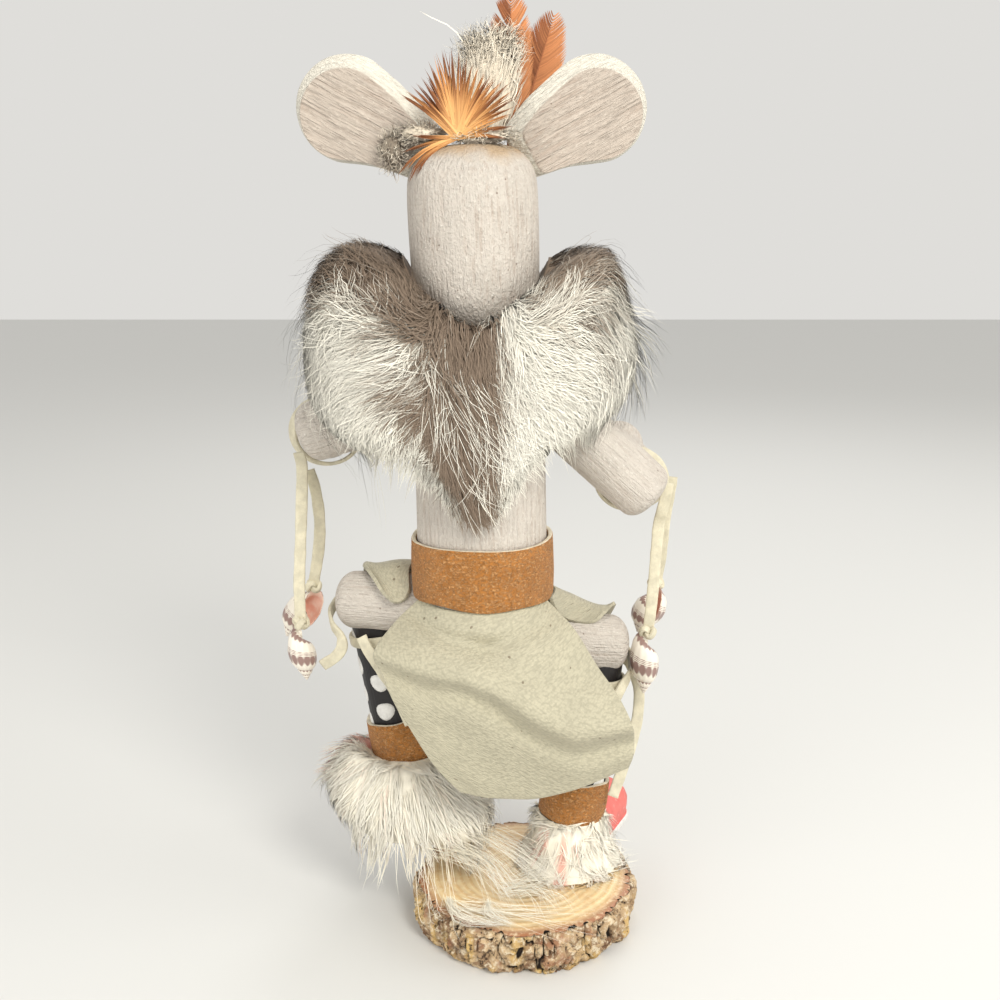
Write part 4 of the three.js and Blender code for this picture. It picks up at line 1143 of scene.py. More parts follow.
def underfur(name, outer, lining, place, tone, material, stands_for, columns=120, rows=34):
    """The soft body under the hairs: the outside drawn in by 0.9 mm, closed by a lining of (radius, height)."""
    angle = (np.arange(columns) / columns * 360)[None]
    share = np.linspace(0, 1, rows)[:, None]
    here, facing, _ = fur_place(outer, angle, share, 2.0)
    ruffle = 0.35 * cloud(here * np.array([1, 1, 0.6]), 3.0, 21) - 0.9
    cover = here + facing * ruffle[..., None]
    back = around(lining[:, 0, None], angle, lining[:, 1, None])
    rings = np.concatenate([cover, back])[::-1]
    angle, share = np.broadcast_arrays(angle, share)
    tones = np.concatenate([tone(angle, share), np.zeros((len(lining), columns))])[::-1]
    facing = np.concatenate([facing, -unit(back * np.array([1, 1, 0]))])[::-1]
    marks = np.stack([np.full(tones.shape, 0.45), tones, 0.45 + 0.3 * cloud(rings, 1.2, 22)], axis=-1)
    put(name, place(rings.reshape(-1, 3)), [quads(len(rings), columns, True, True)], material, stands_for,
        attributes={"hair": marks, "coat": facing})


def put_hair(name, solid, material, stands_for=()):
    """Hair whose marks hold "hair" (place along it, tone, chance) and "coat" (the way the fur faces)."""
    points, faces, marks = solid
    return put(name, points, faces, material, stands_for, soft_shade=False,
               attributes={"hair": marks[:, :3], "coat": marks[:, 3:]})


def make_mantle():
    """The shoulder fur, combed group by group, with stray guard hairs over it."""
    fur = bpy.context.scene.doll_fur
    rng = np.random.default_rng(7)
    material = mantle_hair()
    lining = np.array([(SKIN, 156.0), (SKIN, 170.0), (SKIN, 186.0)])
    underfur("mantle_underfur", mantle_outer, lining, on_figure, mantle_tone, material,
             ["fur_mantle"])

    def part(share_of_locks, *ranges, tone=mantle_tone, **values):
        return comb(rng, mantle_outer, mantle_flow, on_figure, mm(fur.hair_width), MANTLE_HEM,
                    max(8, int(fur.mantle_locks * share_of_locks)), *ranges, tone, **values)

    # Each part: its share of the locks, then where it starts (degrees, share), its reach and its rise.
    groups = {
        "left": [
            part(0.05, (130, 250), (0.0, 0.07), (6, 12), (0.3, 2.0), curl=1.6, stray=24, spread=1.7, root=-0.9),
            part(0.17, (150, 250), (0.06, 0.40), (8, 14), (0.3, 3.0), curl=1.6, stray=24, spread=1.7, stations=5),
            part(0.22, (186, 252), (0.36, 0.72), (12, 19), (0, 0.5), spread=2.9, stray=4, curl=0.3, pinch=0.35,
                 wide=0.85),
            part(0.09, (130, 250), (0.60, 0.82), (6, 11), (0, 1.2), spread=2.4),
        ],
        "middle": [
            part(0.09, (240, 292), (0.08, 0.42), (8, 13), (0.2, 1.6), spread=1.8, stray=10),
            part(0.13, (238, 290), (0.30, 0.66), (13, 22), (0.2, 1.0), spread=1.9, stray=7),
            part(0.12, (236, 300), (0.56, 0.84), (8, 12), (0.1, 0.9), spread=2.0, stray=9),
            part(0.04, (238, 292), (0.80, 0.90), (5, 9), (0.0, 0.7), spread=1.8, stray=14, root=-1.2),
        ],
        "right": [
            part(0.05, (290, 410), (0.0, 0.07), (6, 12), (0.3, 2.0), curl=1.0, stray=14, spread=1.9, root=-0.9),
            part(0.15, (290, 390), (0.06, 0.40), (9, 15), (0.2, 2.2), curl=1.0, stray=14, spread=2.0, stations=5),
            part(0.20, (284, 354), (0.34, 0.72), (12, 20), (0, 0.7), spread=2.6, stray=6, fade=-0.35, wide=0.85,
                 pinch=0.5),
            part(0.10, (288, 410), (0.58, 0.81), (6, 11), (0, 1.2), spread=2.4),
        ],
        "front": [
            part(0.19, (30, 160), (0.06, 0.80), (9, 15), (0, 1.4), spread=2.6, stray=12, fade=-0.15, wide=1.15),
        ],
        "guard": [
            part(0.035, (140, 215), (0.12, 0.75), (14, 26), (3, 9), hairs=2, stray=26, curl=2.2, wide=0.6,
                 stations=7, tone=lambda a, t: 0.10 + 0.5 * (t < 0.3)),
            part(0.035, (330, 395), (0.12, 0.75), (14, 24), (3, 9), hairs=2, stray=24, curl=1.6, wide=0.6,
                 stations=7, tone=lambda a, t: 0.10 + 0.5 * (t < 0.25)),
            part(0.012, (344, 376), (0.42, 0.66), (12, 17), (7, 11), hairs=3, stray=40, curl=0.3, wide=0.9,
                 root=-1, spread=1.6, tone=even(0.02)),
            part(0.032, (246, 286), (0.26, 0.54), (16, 28), (1.0, 2.4), hairs=2, stray=9, curl=0.8, wide=0.55,
                 stations=7, tone=even(0.02), turn=-9),
            part(0.045, (196, 346), (0.40, 0.74), (12, 24), (1.4, 4.0), hairs=2, stray=20, curl=1.8, wide=0.5,
                 stations=7, tone=even(0.02)),
            part(0.02, (30, 150), (0.2, 0.7), (12, 22), (2, 5), hairs=2, stray=24, curl=1.8, wide=0.5,
                 stations=7, tone=even(0.02)),
        ],
    }
    for where, solids in groups.items():
        put_hair(f"mantle_hair_{where}", joined(*solids), material)


def left_anklet_outer(angle):
    """The full bell of fur that hides the lifted foot, from the cuff down to the tips."""
    outer, inner = near(angle, 200, 70), near(angle, 335, 60)
    return rows_of(angle, (11.8, 54.6), (17.2 + 3 * outer, 52.6 + 4 * outer), (22 + 4.5 * outer + 2 * inner, 45.0),
                   (22 + 3 * outer + 8 * inner, 36.0), (19 + 8 * inner, 28 - 2 * inner),
                   (13 + 3 * inner, 25.5 - inner))


def right_anklet_outer(angle):
    """The thin low skirt of fur around the standing foot."""
    heel = near(angle, 246, 60)
    return rows_of(angle, (11.2, 33.2), (12.6 + 2 * heel, 30.0), (14.6 + 2 * heel, 22.0),
                   (18 + 2 * heel, BASE_HEIGHT + 1.8), (15 + 3 * heel, BASE_HEIGHT + 0.6))


def anklet_flow(angle, share):
    """Out over the cuff and down, swept to the outer side on the left and to the inner side on the right."""
    angle = angle % 360
    return -0.55 * near(angle, 215, 60) + 0.45 * near(angle, 310, 60), 1.0 + 0 * angle


def make_anklets():
    """The fur at the ankles, and the loose hair that lies on the slab between the feet."""
    fur = bpy.context.scene.doll_fur
    rng = np.random.default_rng(11)
    width = mm(fur.hair_width)
    material = anklet_hair()
    ankles = {where: limb["ankle"] * np.array([1, 1, 0]) for where, limb in LIMBS.items()}

    def pink(angle, share):
        """A pink tinge on the outer left tips."""
        return 0.03 + 0.75 * near(angle % 360, 178, 30) * (1 - smooth(share, 0.25, 0.6))

    def rosy(angle, share):
        """Where the red shoe shines through the thin fur of the heel."""
        patch = cloud(around(14.0, angle, 26 - 12 * share), 3.2, 41)
        return 0.03 + 0.85 * near(angle % 360, 250, 60) * smooth(patch, -0.25, 0.25) * smooth(share, 0.05, 0.3)

    def part(where, share_of_locks, *ranges, **values):
        outer = {"left": left_anklet_outer, "right": right_anklet_outer}[where]
        return comb(rng, outer, anklet_flow, lambda p: p + ankles[where], width, ANKLET_HEM,
                    int(fur.anklet_locks * share_of_locks), *ranges, **values)

    left_lining = np.array([(11.0, 39.0), (11.0, 45.0), (11.0, 52.6)])
    underfur("anklet_left_underfur", left_anklet_outer, left_lining, lambda p: p + ankles["left"], pink, material,
             ["fur_anklet_left"], columns=90, rows=24)
    right_lining = np.array([(10.6, 17.6), (10.6, 22.0), (10.6, 31.6)])
    underfur("anklet_right_underfur", right_anklet_outer, right_lining, lambda p: p + ankles["right"], rosy,
             material, ["fur_anklet_right"], columns=80, rows=16)
    solids = [
        part("left", 0.10, (0, 360), (0.0, 0.08), (6, 11), (0.4, 2.4), pink, stray=16, root=-0.7),
        part("left", 0.46, (0, 360), (0.03, 0.5), (12, 20), (0.2, 1.8), pink, spread=2.4, root=-1.5),
        part("left", 0.24, (0, 360), (0.46, 0.86), (8, 16), (-0.5, 1.6), even(0.03), stray=9),
        part("left", 0.05, (160, 208), (0.10, 0.34), (9, 15), (2.5, 6.5), pink, hairs=5, spread=1.8, stray=14,
             curl=0.8),
        part("left", 0.05, (185, 360), (0.3, 0.85), (12, 18), (0.5, 4.5), even(0.03), hairs=2, stray=12, curl=1.0,
             wide=0.65, stations=7),
        part("left", 0.03, (285, 350), (0.3, 0.7), (18, 30), (1.5, 5), even(0.03), hairs=2, stray=10, turn=-26,
             curl=1.2, wide=0.7, stations=7),
    ]
    above_floor("anklet_left_hair", joined(*solids), 3.0, material)
    solids = [
        part("right", 0.07, (0, 360), (0.0, 0.10), (3, 7), (0.8, 3.0), even(0.03), hairs=5, spread=1.8, stray=50,
             curl=1.0, root=-0.7),
        part("right", 0.17, (0, 360), (0.05, 0.7), (7, 12), (0.2, 1.6), rosy, hairs=5, spread=2.0, stray=26,
             curl=1.4, wide=0.8),
        part("right", 0.05, (150, 400), (0.3, 0.9), (9, 18), (1, 6), even(0.03), hairs=2, stray=50, curl=2.2, wide=0.65,
             stations=7),
    ]
    above_floor("anklet_right_hair", joined(*solids, loose_hair(rng, width)), BASE_HEIGHT + 0.25, material)


def above_floor(name, solid, floor, material):
    """An anklet's hair, with no point lower than a floor."""
    points, faces, marks = solid
    points[:, 2] = np.maximum(points[:, 2], floor)
    put_hair(name, (points, faces, marks), material)


def loose_hair(rng, width):
    """Loose hair that sweeps from the lifted foot over the slab: long low arcs with their ends apart."""
    wisps = [
        # start, end, how far the arc bows sideways, spread of its hairs, hairs
        ((-25, -20, 16.5), (-7, -31, 14.8), 6.5, 1.1, 46),
        ((-12, -21, 16.5), (-4, -32, 14.8), 4.0, 0.9, 34),
        ((-6, -16, 17), (10, -24, 15.0), -5, 4.0, 40),
        ((-2, -12, 17), (28, -9, 15.0), -7, 4.5, 36),
        ((-26, -8, 28), (-4, -20, 15), -4, 5.0, 70),
        ((-24, -4, 34), (8, -12, 17), -4, 5.0, 60),
        ((20, 2, 17), (36, 8, 15.0), 3, 3.0, 40),
        ((-20, -22, 15.5), (16, -30, 14.6), 2, 4.0, 24),
        ((-30, -22, 30), (-22, -30, 4), 1.0, 5.0, 12),
    ]
    solids = []
    s = np.linspace(0, 1, 6)[None, :, None]
    for start, end, bow, spread, count in wisps:
        start, end = np.array(start, float), np.array(end, float)
        a = start + rng.normal(0, spread * 0.6, (count, 1, 3)) * np.array([1, 1, 0.35])
        b = end + rng.normal(0, spread, (count, 1, 3)) * np.array([1, 1, 0.25])
        flat = unit(np.cross(end - start, [0, 0, 1.0]))
        reach = bow * rng.normal(1, 0.35, (count, 1, 1))
        lines = a + (b - a) * s + flat * reach * np.sin(math.pi * s)
        lines[..., 2] += rng.uniform(0, 2.4, (count, 1)) * np.sin(math.pi * s[..., 0])
        lines[..., 2] = np.maximum(lines[..., 2], BASE_HEIGHT + 0.3 + rng.uniform(0, 0.8, (count, 1)))
        marks = marked(s[..., 0], rng.uniform(0, 0.06, (count, 1)), rng.uniform(0.3, 1, (count, 1)),
                       unit(np.array([0, -0.35, 1.0])))
        wide = 0.5 * width * (1 - 0.7 * s[..., 0]) * rng.uniform(0.6, 1.1, (count, 1))
        solids.append(tufts(lines, wide, marks))
    return joined(*solids)


# ---- leather

def leather_sheet(name, grid, thickness, material, stands_for, edge=None, round_columns=False):
    """A thin sheet over a grid of points (rows, columns, 3), given its thickness and soft edges by modifiers.

    Its flat place, the running length along and across the sheet, stays with it as "grain"."""
    rows, columns = grid.shape[:2]
    across = np.cumsum(np.pad(np.linalg.norm(np.diff(grid, axis=1), axis=-1), ((0, 0), (1, 0))), axis=1)
    along = np.cumsum(np.pad(np.linalg.norm(np.diff(grid, axis=0), axis=-1), ((1, 0), (0, 0))), axis=0)
    flat = np.stack([across, along, np.zeros_like(across)], axis=-1)
    faces = quads(rows, columns, round_columns=round_columns)[:, ::-1]
    piece = put(name, grid, [faces], material, stands_for, materials=[edge] if edge else (),
                attributes={"grain": flat.reshape(-1, 3) * MM})
    solid = piece.modifiers.new("Thickness", "SOLIDIFY")
    solid.thickness = thickness * MM
    solid.offset = 0
    solid.use_even_offset = True
    if edge:
        solid.material_offset_rim = 1
    soft = piece.modifiers.new("Soft edge", "BEVEL")
    soft.width = thickness * 0.3 * MM
    soft.segments = 2
    soft.limit_method = "ANGLE"
    soft.angle_limit = math.radians(50)
    return piece


WAIST = np.array([-13.8, -2.0, 0])
WAIST_RADIUS = 21.3


def waist(angle, height):
    """A point on the belt's foot, where the back apron is tucked in."""
    turn = math.radians(angle)
    return (WAIST[0] + WAIST_RADIUS * math.cos(turn), WAIST[1] + WAIST_RADIUS * math.sin(turn), height)


BACK_APRON = [
    [waist(200, 111), (-40.5, -14, 106), (-46, -22, 99), (-42.5, -25.5, 91), (-35.5, -26.5, 78), (-28, -26, 65),
     (-20.5, -24, 55.5)],
    [waist(235, 111), (-27, -24.5, 104), (-29, -30, 96), (-26, -30, 87), (-21, -28.5, 76), (-17, -26.5, 64),
     (-12.5, -24, 53.6)],
    [waist(270, 111), (-14, -26, 104), (-12, -31.5, 95), (-9.5, -32.5, 87), (-6.5, -30, 76), (-3.5, -26.5, 64),
     (-0.5, -24, 53.2)],
    [waist(305, 111), (1, -23.5, 104), (6, -29, 94), (9, -33, 84), (11, -32, 75), (12, -28, 65), (12, -25, 56.2)],
    [waist(340, 111), (13.5, -15, 105), (21, -20, 94), (27.5, -26, 86), (30.8, -30, 79.5), (31.8, -28, 71),
     (30.5, -25, 64)],
]
FRONT_APRON = [
    [(-36.3, -3.9, 113.4), (-38, -5.7, 110.6), (-40.8, -6, 109.9), (-44, -4.4, 111.8), (-47, -1.2, 115.2),
     (-50.2, 4.4, 117.7)],
    [(-36.8, 4, 118.4), (-40, 4.6, 118.6), (-44, 5.6, 118.3), (-48, 8, 117.8), (-51.5, 13, 117), (-53, 21, 112)],
    [(-32.8, 12.5, 117), (-36, 15, 116.8), (-40, 19, 114.5), (-42, 23, 109), (-43, 26, 101), (-43, 28, 92)],
    [(-24, 19.2, 111.4), (-25, 21.8, 108.5), (-26, 24.5, 102), (-26, 26.5, 94), (-26, 27.5, 82), (-26, 27, 68)],
    [(-13.8, 20.9, 111.4), (-13, 22.6, 107), (-12, 24.5, 100), (-12, 25.5, 92), (-12, 26, 80), (-12, 25.5, 64)],
    [(-3, 17.6, 111.4), (-1, 19.5, 108), (1, 22.5, 102), (2, 25, 94), (3, 26.5, 82), (3, 26, 66)],
    [(4.8, 11.8, 111.3), (8, 14, 108.4), (12.5, 18, 105), (16, 22, 99.5), (18, 25, 91), (19, 26.5, 80)],
    [(8.7, 3.5, 111.3), (11.5, 5, 109.4), (17, 7, 105.8), (21.4, 8.8, 104), (25.6, 11.4, 102.8), (29.6, 18, 101.6)],
    [(7.2, -5.4, 111.3), (8.6, -4.6, 107.6), (12, -1.2, 103.2), (16.8, 1, 101), (21.6, 2.6, 100.8),
     (24.8, 6, 102.4)],
]


def draped(columns, rows, across):
    """The surface through the columns, each a curve from the belt to the hem: (rows, across, 3)."""
    lines = through(np.array(columns, float), np.linspace(0, 1, rows))
    return through(np.swapaxes(lines, 0, 1), np.linspace(0, 1, across))


def crease(down, over, line, width, deep, ends=(-0.2, 1.2)):
    """A fold along a line given as (over, down) points: a bump across it, steeper below than above, that fades
    towards both ends. Positive is pushed in, negative out."""
    line = np.array(line)
    off = down - np.interp(over, line[:, 0], line[:, 1])
    slope = np.where(off > 0, 0.62 * width, 1.25 * width)
    fade = smooth(over, ends[0], ends[0] + 0.2) * (1 - smooth(over, ends[1] - 0.2, ends[1]))
    return deep * np.exp(-(off / slope) ** 2) * fade


def apron_folds(down, over):
    """The back apron's folds, in millimetres towards the front: the ridge over the thighs that runs from the left
    bulge to the right edge, the hollow under it, pulls from the belt and a slow flutter."""
    ridge = [(0, 0.31), (0.22, 0.31), (0.38, 0.32), (0.50, 0.40), (0.65, 0.53), (0.80, 0.63), (1.0, 0.65)]
    under = [(o, d + 0.125) for o, d in ridge]
    folds = crease(down, over, ridge, 0.11, -2.6) + crease(down, over, under, 0.11, 2.9)
    folds = folds + crease(down, over, [(0.05, 0.08), (0.30, 0.16), (0.55, 0.22)], 0.060, 3.0, (-0.05, 0.66))
    folds = folds + crease(down, over, [(0.40, 0.26), (0.70, 0.14), (0.95, 0.08)], 0.055, 1.7, (0.35, 1.0))
    folds = folds + crease(down, over, [(0.5, 0.26), (0.75, 0.36), (1.0, 0.42)], 0.07, 0.8, (0.42, 1.1))
    flutter = 0.30 * np.sin(9 * over + 5 * down) + 0.18 * np.sin(21 * over - 8 * down + 1)
    return folds * smooth(down, 0.0, 0.12) + flutter * smooth(down, 0.3, 0.8)


def make_aprons():
    """The back apron, pushed out by the lifted thigh, and the front one that lies over both thighs."""
    thickness = mm(sizes().apron)
    skin = buckskin()
    back = draped(BACK_APRON, 58, 58)
    down, over = np.linspace(0, 1, 58)[:, None], np.linspace(0, 1, 58)[None]
    back[..., 1] += apron_folds(down, over)
    tuck = 1 - smooth(down, 0.0, 0.10)[..., None]
    inward = unit((WAIST - back) * np.array([1, 1, 0]))
    back = back + tuck * (1.15 * inward + np.array([0, 0, 1.25]))
    piece = leather_sheet("back_apron_leather", back, thickness, skin, ["back_apron"])
    front = draped(FRONT_APRON, 44, 84)
    piece = leather_sheet("front_apron_leather", front, thickness, skin, ["front_apron"])


def strap(name, radius, thickness, height, place, stands_for, wave, columns=150):
    """A suede band round an upright axis, its top and bottom edges cut a little unevenly."""
    angle = np.arange(columns) / columns * 360
    share = np.linspace(0, 1, 14)[:, None]
    low, high = wave(angle)
    level = low + (height + high - low) * share
    bulge = 0.25 * np.sin(share * math.pi) + 0.2 * cloud(around(radius, angle[None], level), 6, 31)
    grid = place(around(radius + bulge, angle[None], level))
    return leather_sheet(name, grid[::-1], thickness, suede(), stands_for,
                         edge=cut_edge(), round_columns=True)


def sine(degrees):
    return np.sin(np.radians(degrees))


def make_suede():
    """The belt round the waist and the cuffs round the shins."""
    s = sizes()
    thick = mm(s.suede)
    r = mm(s.torso_radius) + GAP + thick / 2
    belt = strap("belt_suede", r, thick, mm(s.belt_height), lambda p: on_figure(p + np.array([0, 0, BELT_BOTTOM])),
                 ["belt"], lambda a: (0.5 * sine(2 * a) + 0.4 * sine(5 * a), 0.3 * sine(3 * a + 50)))
    for where, limb in LIMBS.items():
        kneecap, ankle = limb["kneecap"], limb["ankle"]
        root = ankle - unit(ankle - kneecap) * 4 * 0.15
        r = mm(s.limb_radius) - 0.2 + GAP + thick / 2
        cuff = strap(f"cuff_{where}_suede", r, thick, mm(s.cuff_height), lambda p: stand(p, root, kneecap),
                     [f"cuff_{where}"], lambda a: (0.25 * sine(2 * a + 30),
                                                   0.35 * sine(2 * a + 200) + 0.2 * sine(5 * a)), columns=100)


# ---- thongs

TAILS = {
    "tail_left_front": [(-71.6, 10.6, 154), (-70.7, 10.4, 149), (-71.1, 9.6, 138.4), (-71.7, 8, 125.3),
                        (-72.3, 6, 111.9), (-72.2, 5, 99.2)],
    "tail_left_back": [(-69.4, 15.6, 147.2), (-67.6, 15.4, 141), (-66.6, 15.4, 131.1), (-67.3, 16, 121.1),
                       (-69.8, 17, 107.8)],
    "tail_right_front": [(44, 6.2, 145), (43.4, 6.2, 140.6), (42.4, 6.4, 135.6), (41.8, 8, 131), (41, 7, 119.5),
                         (40.1, 6, 106.1), (39, 5, 96.2)],
    "tail_right_back": [(46.6, 15.4, 145), (46, 15.4, 140), (44.8, 15, 131.9), (43.9, 15.4, 118.9),
                        (42.8, 17, 108.6)],
    "knee_tail_left_outer": [(-55, 24.6, 101), (-60.8, 21.4, 102.4), (-63.6, 13.5, 100.6), (-62.2, 6, 98.4),
                             (-59.2, 1.8, 96.2), (-58.6, 0.6, 92.9), (-60.9, 1.7, 89.2), (-65.4, 3.6, 85.6)],
    "knee_tail_left_inner": [(-52.4, 1, 96.2), (-51, 0, 93.6), (-49.2, -1, 90.8), (-45.1, -3, 85.2),
                             (-41.8, -5, 80.6), (-36.6, -8, 70.4)],
    "knee_tail_right_outer": [(33.4, 20.5, 81.6), (35.6, 16.4, 80), (37.8, 14, 72.9), (37.5, 12, 64.9),
                              (36, 9, 58.8), (34.1, 5, 54.9), (31.8, 1, 51), (28.3, -2, 42.2)],
    "knee_tail_right_inner": [(28.4, 22.6, 84.6), (33.2, 18.6, 85.4), (34.9, 12.6, 83.6), (33.5, 6.5, 81),
                              (30.6, 0.8, 79), (28.2, -1.2, 75.4), (26, -1, 71)],
}
SHELLS = {
    "shell_left_front": ((-72.1, 5, 98.8), (-70.9, 5, 79.6), 5.4, 200),
    "shell_left_back": ((-70.6, 17.2, 107.2), (-79.4, 17.2, 90), 6.2, 320),
    "shell_right_front": ((39.3, 5, 95.6), (38.2, 5, 74.8), 5.2, 160),
    "shell_right_back": ((42.6, 17.2, 108), (37.2, 17.2, 91.4), 6.2, 30),
}


def facing_of(name, share):
    """The way a thong's flat side looks, at shares of its length."""
    s = share[:, None]
    way, rounds = np.array([0, -1.0, 0]) + 0 * s, 0
    if name == "knee_tail_left_outer":
        way = np.where(s < 0.66, np.concatenate([-1 + 0 * s, -0.9 + 1.8 * (0.66 - s), -0.25 + 0 * s], axis=1),
                       np.array([-0.35, -1, -0.2]))
        rounds = 12
    if name == "knee_tail_right_inner":
        way = np.where(s < 0.55, np.array([1, 0.2, -0.2]), np.array([0.4, -1, 0]))
        rounds = 20
    for _ in range(rounds):
        way[1:-1] = (way[:-2] + way[1:-1] + way[2:]) / 3
    return way


def lace(line, facing, width, thickness, closed=False):
    """A flat thong along a line: a rounded oblong of 14 points carried along it, one face to `facing`."""
    sides = 14
    if closed:
        along = unit(np.roll(line, -1, 0) - np.roll(line, 1, 0))
    else:
        along = unit(np.gradient(line, axis=0))
    across = unit(np.cross(facing, along))
    out = unit(np.cross(along, across))
    turn = circle(sides)
    power = 0.42
    x = np.sign(np.cos(turn)) * np.abs(np.cos(turn)) ** power * 0.5
    y = np.sign(np.sin(turn)) * np.abs(np.sin(turn)) ** power * 0.5
    rough = 1 + 0.06 * cloud(line, 2.3, 41)[:, None, None]
    rings = line[:, None] + across[:, None] * (x[None, :, None] * width * rough) + out[:, None] * (
        y[None, :, None] * thickness)
    if closed:
        return rings.reshape(-1, 3), [quads(len(line), sides, True, True)]
    return capped(rings, line[0], line[-1])


def knot(at, axis, size, seed):
    """A small overhand knot: a closed cord on a trefoil, pulled tight round its axis."""
    turn = circle(90)
    line = np.stack([np.sin(turn) + 2 * np.sin(2 * turn), np.cos(turn) - 2 * np.cos(2 * turn),
                     -1.2 * np.sin(3 * turn)], axis=-1) * np.array([0.30, 0.30, 0.42]) * size
    along = unit(np.roll(line, -1, 0) - np.roll(line, 1, 0))
    away = unit(line + 1e-6)
    points, faces = lace(line, np.cross(np.cross(along, away), along) + 1e-6, size * 0.80, size * 0.50, closed=True)
    points = turn_about(points, (0, 0, 1), seed * 40.0)
    return stand(points, (0, 0, 0), axis) + np.array(at, float), faces


def wrap(middle, axis, radius, flare):
    """A thong tied round a limb: a ring of the limb's radius, its face turned outwards by the flare."""
    n = unit(np.array(axis, float))
    first = unit(np.array([1.0, 0, 0]) - n * n[0])
    second = np.cross(n, first)
    turn = circle(72)[:, None]
    line = middle + radius * (np.cos(turn) * first + np.sin(turn) * second)
    out = unit(line - middle)
    along = unit(np.roll(line, -1, 0) - np.roll(line, 1, 0))
    tilt = np.radians(flare(turn))
    facing = out * np.cos(tilt) + np.cross(along, out) * np.sin(tilt)
    return line, facing


def make_thongs():
    """Thongs round elbows and knees, their hanging ends, the knots and the shells on them."""
    s = sizes()
    width, thickness, r = mm(s.lace_width), mm(s.lace_thickness), mm(s.limb_radius)
    finish = thong_leather()
    for where, side in (("left", -1), ("right", 1)):
        limb = LIMBS[where]
        along, down = unit(limb["fist"] - limb["forearm"]), unit(limb["ankle"] - limb["kneecap"])
        slant = turn_about(along, (0, 0, 1), -17 * side)
        middle = limb["forearm"] + along * 4.8 - np.array([side, 0, 0])
        elbow = wrap(middle, slant, r + 1.4, lambda turn: 22 * (1 + side * np.cos(turn)))
        knee = wrap(limb["kneecap"] + down * (r + 2.6), down, r + 0.8, lambda turn: 0 * turn)
        for name, (line, facing) in (("elbow", elbow), ("knee", knee)):
            points, faces = lace(line, facing, width * 0.9, thickness, closed=True)
            put(f"{name}_band_{where}", points, faces, finish, [f"{name}_thong_{where}"])
    for name, route in TAILS.items():
        line = evenly(through(route, np.linspace(0, 1, 200), even=True), 70)
        share = np.linspace(0, 1, len(line))
        points, faces = lace(line, facing_of(name, share), width, thickness)
        piece = put(f"{name}_lace", points, faces, finish, [name])
        if name.startswith("tail"):
            end = line[-1]
            points, faces = knot(end + np.array([0, 0, 0.3]), (0.1, 0, 1), 2.5, len(name))
            put(f"{name}_knot", points, faces, finish)
            make_shell(name.replace("tail", "shell"))


def make_shell(name):
    """A small whelk. A ring turns about the axis, growing by a fixed ratio each turn and moving from the
    spire to the mouth; ribs swell it, and at the mouth it flares and runs back inside."""
    mouth, tip, radius, twist = SHELLS[name]
    mouth, tip = np.array(mouth, float), np.array(tip, float)
    long = np.linalg.norm(tip - mouth)
    turns, ratio, steps, sides = 4.6, 1.72, 190, 20
    phi = np.linspace(0, turns, steps)
    grow = ratio ** (phi - turns)
    inside_steps = 16
    inner_phi = turns - np.linspace(0, 0.32, inside_steps)
    inner_scale = np.linspace(0.93, 0.55, inside_steps)
    phi_all = np.concatenate([phi, inner_phi])
    grow_all = np.concatenate([grow, ratio ** (inner_phi - turns)])
    scale = np.concatenate([np.ones(steps), inner_scale])
    lip = np.concatenate([1 + 0.10 * smooth(phi, turns - 0.05, turns), np.linspace(1.06, 0.9, inside_steps)])
    turn = 2 * math.pi * phi_all + math.radians(twist)
    around_tube = circle(sides)
    rib = 1 + 0.055 * np.sin(2 * math.pi * 13 * phi_all)[:, None] * (scale[:, None] == 1)
    cordlets = 1 + 0.02 * np.cos(10 * around_tube)[None]
    half = 0.36 * long
    ring_r = 0.60 * radius * scale * lip
    ring_z = half * scale * lip
    r = grow_all[:, None] * (0.42 * radius + ring_r[:, None] * np.cos(around_tube)[None] * rib * cordlets)
    z = long - grow_all[:, None] * (long - half + ring_z[:, None] * np.sin(around_tube)[None] * -1)
    r = np.maximum(r, 0.02)
    rings = np.stack([r * np.cos(turn)[:, None], r * np.sin(turn)[:, None], z], axis=-1)
    points, faces = capped(rings, rings[0].mean(axis=0), rings[-1].mean(axis=0))
    marks = np.zeros((len(points), 3))
    marks[:-2, 0] = np.repeat(phi_all, sides)
    marks[:-2, 1] = np.tile(np.arange(sides) / sides, len(phi_all))
    marks[:-2, 2] = np.repeat(np.concatenate([smooth(phi, turns - 0.02, turns) * 0.3, np.ones(inside_steps)]), sides)
    marks[-1] = (turns, 0, 1)
    return put(f"{name}_whelk", stand(points, mouth, tip), faces, shell_finish(), [name],
               attributes={"shell": marks})


# ---- feathers and down

def tilted(points, root, side_lean):
    """Points leaned from +Z towards +X, then moved to a root on the head."""
    return on_head(turn_about(points, (0, 1, 0), side_lean) + np.array(root, float))


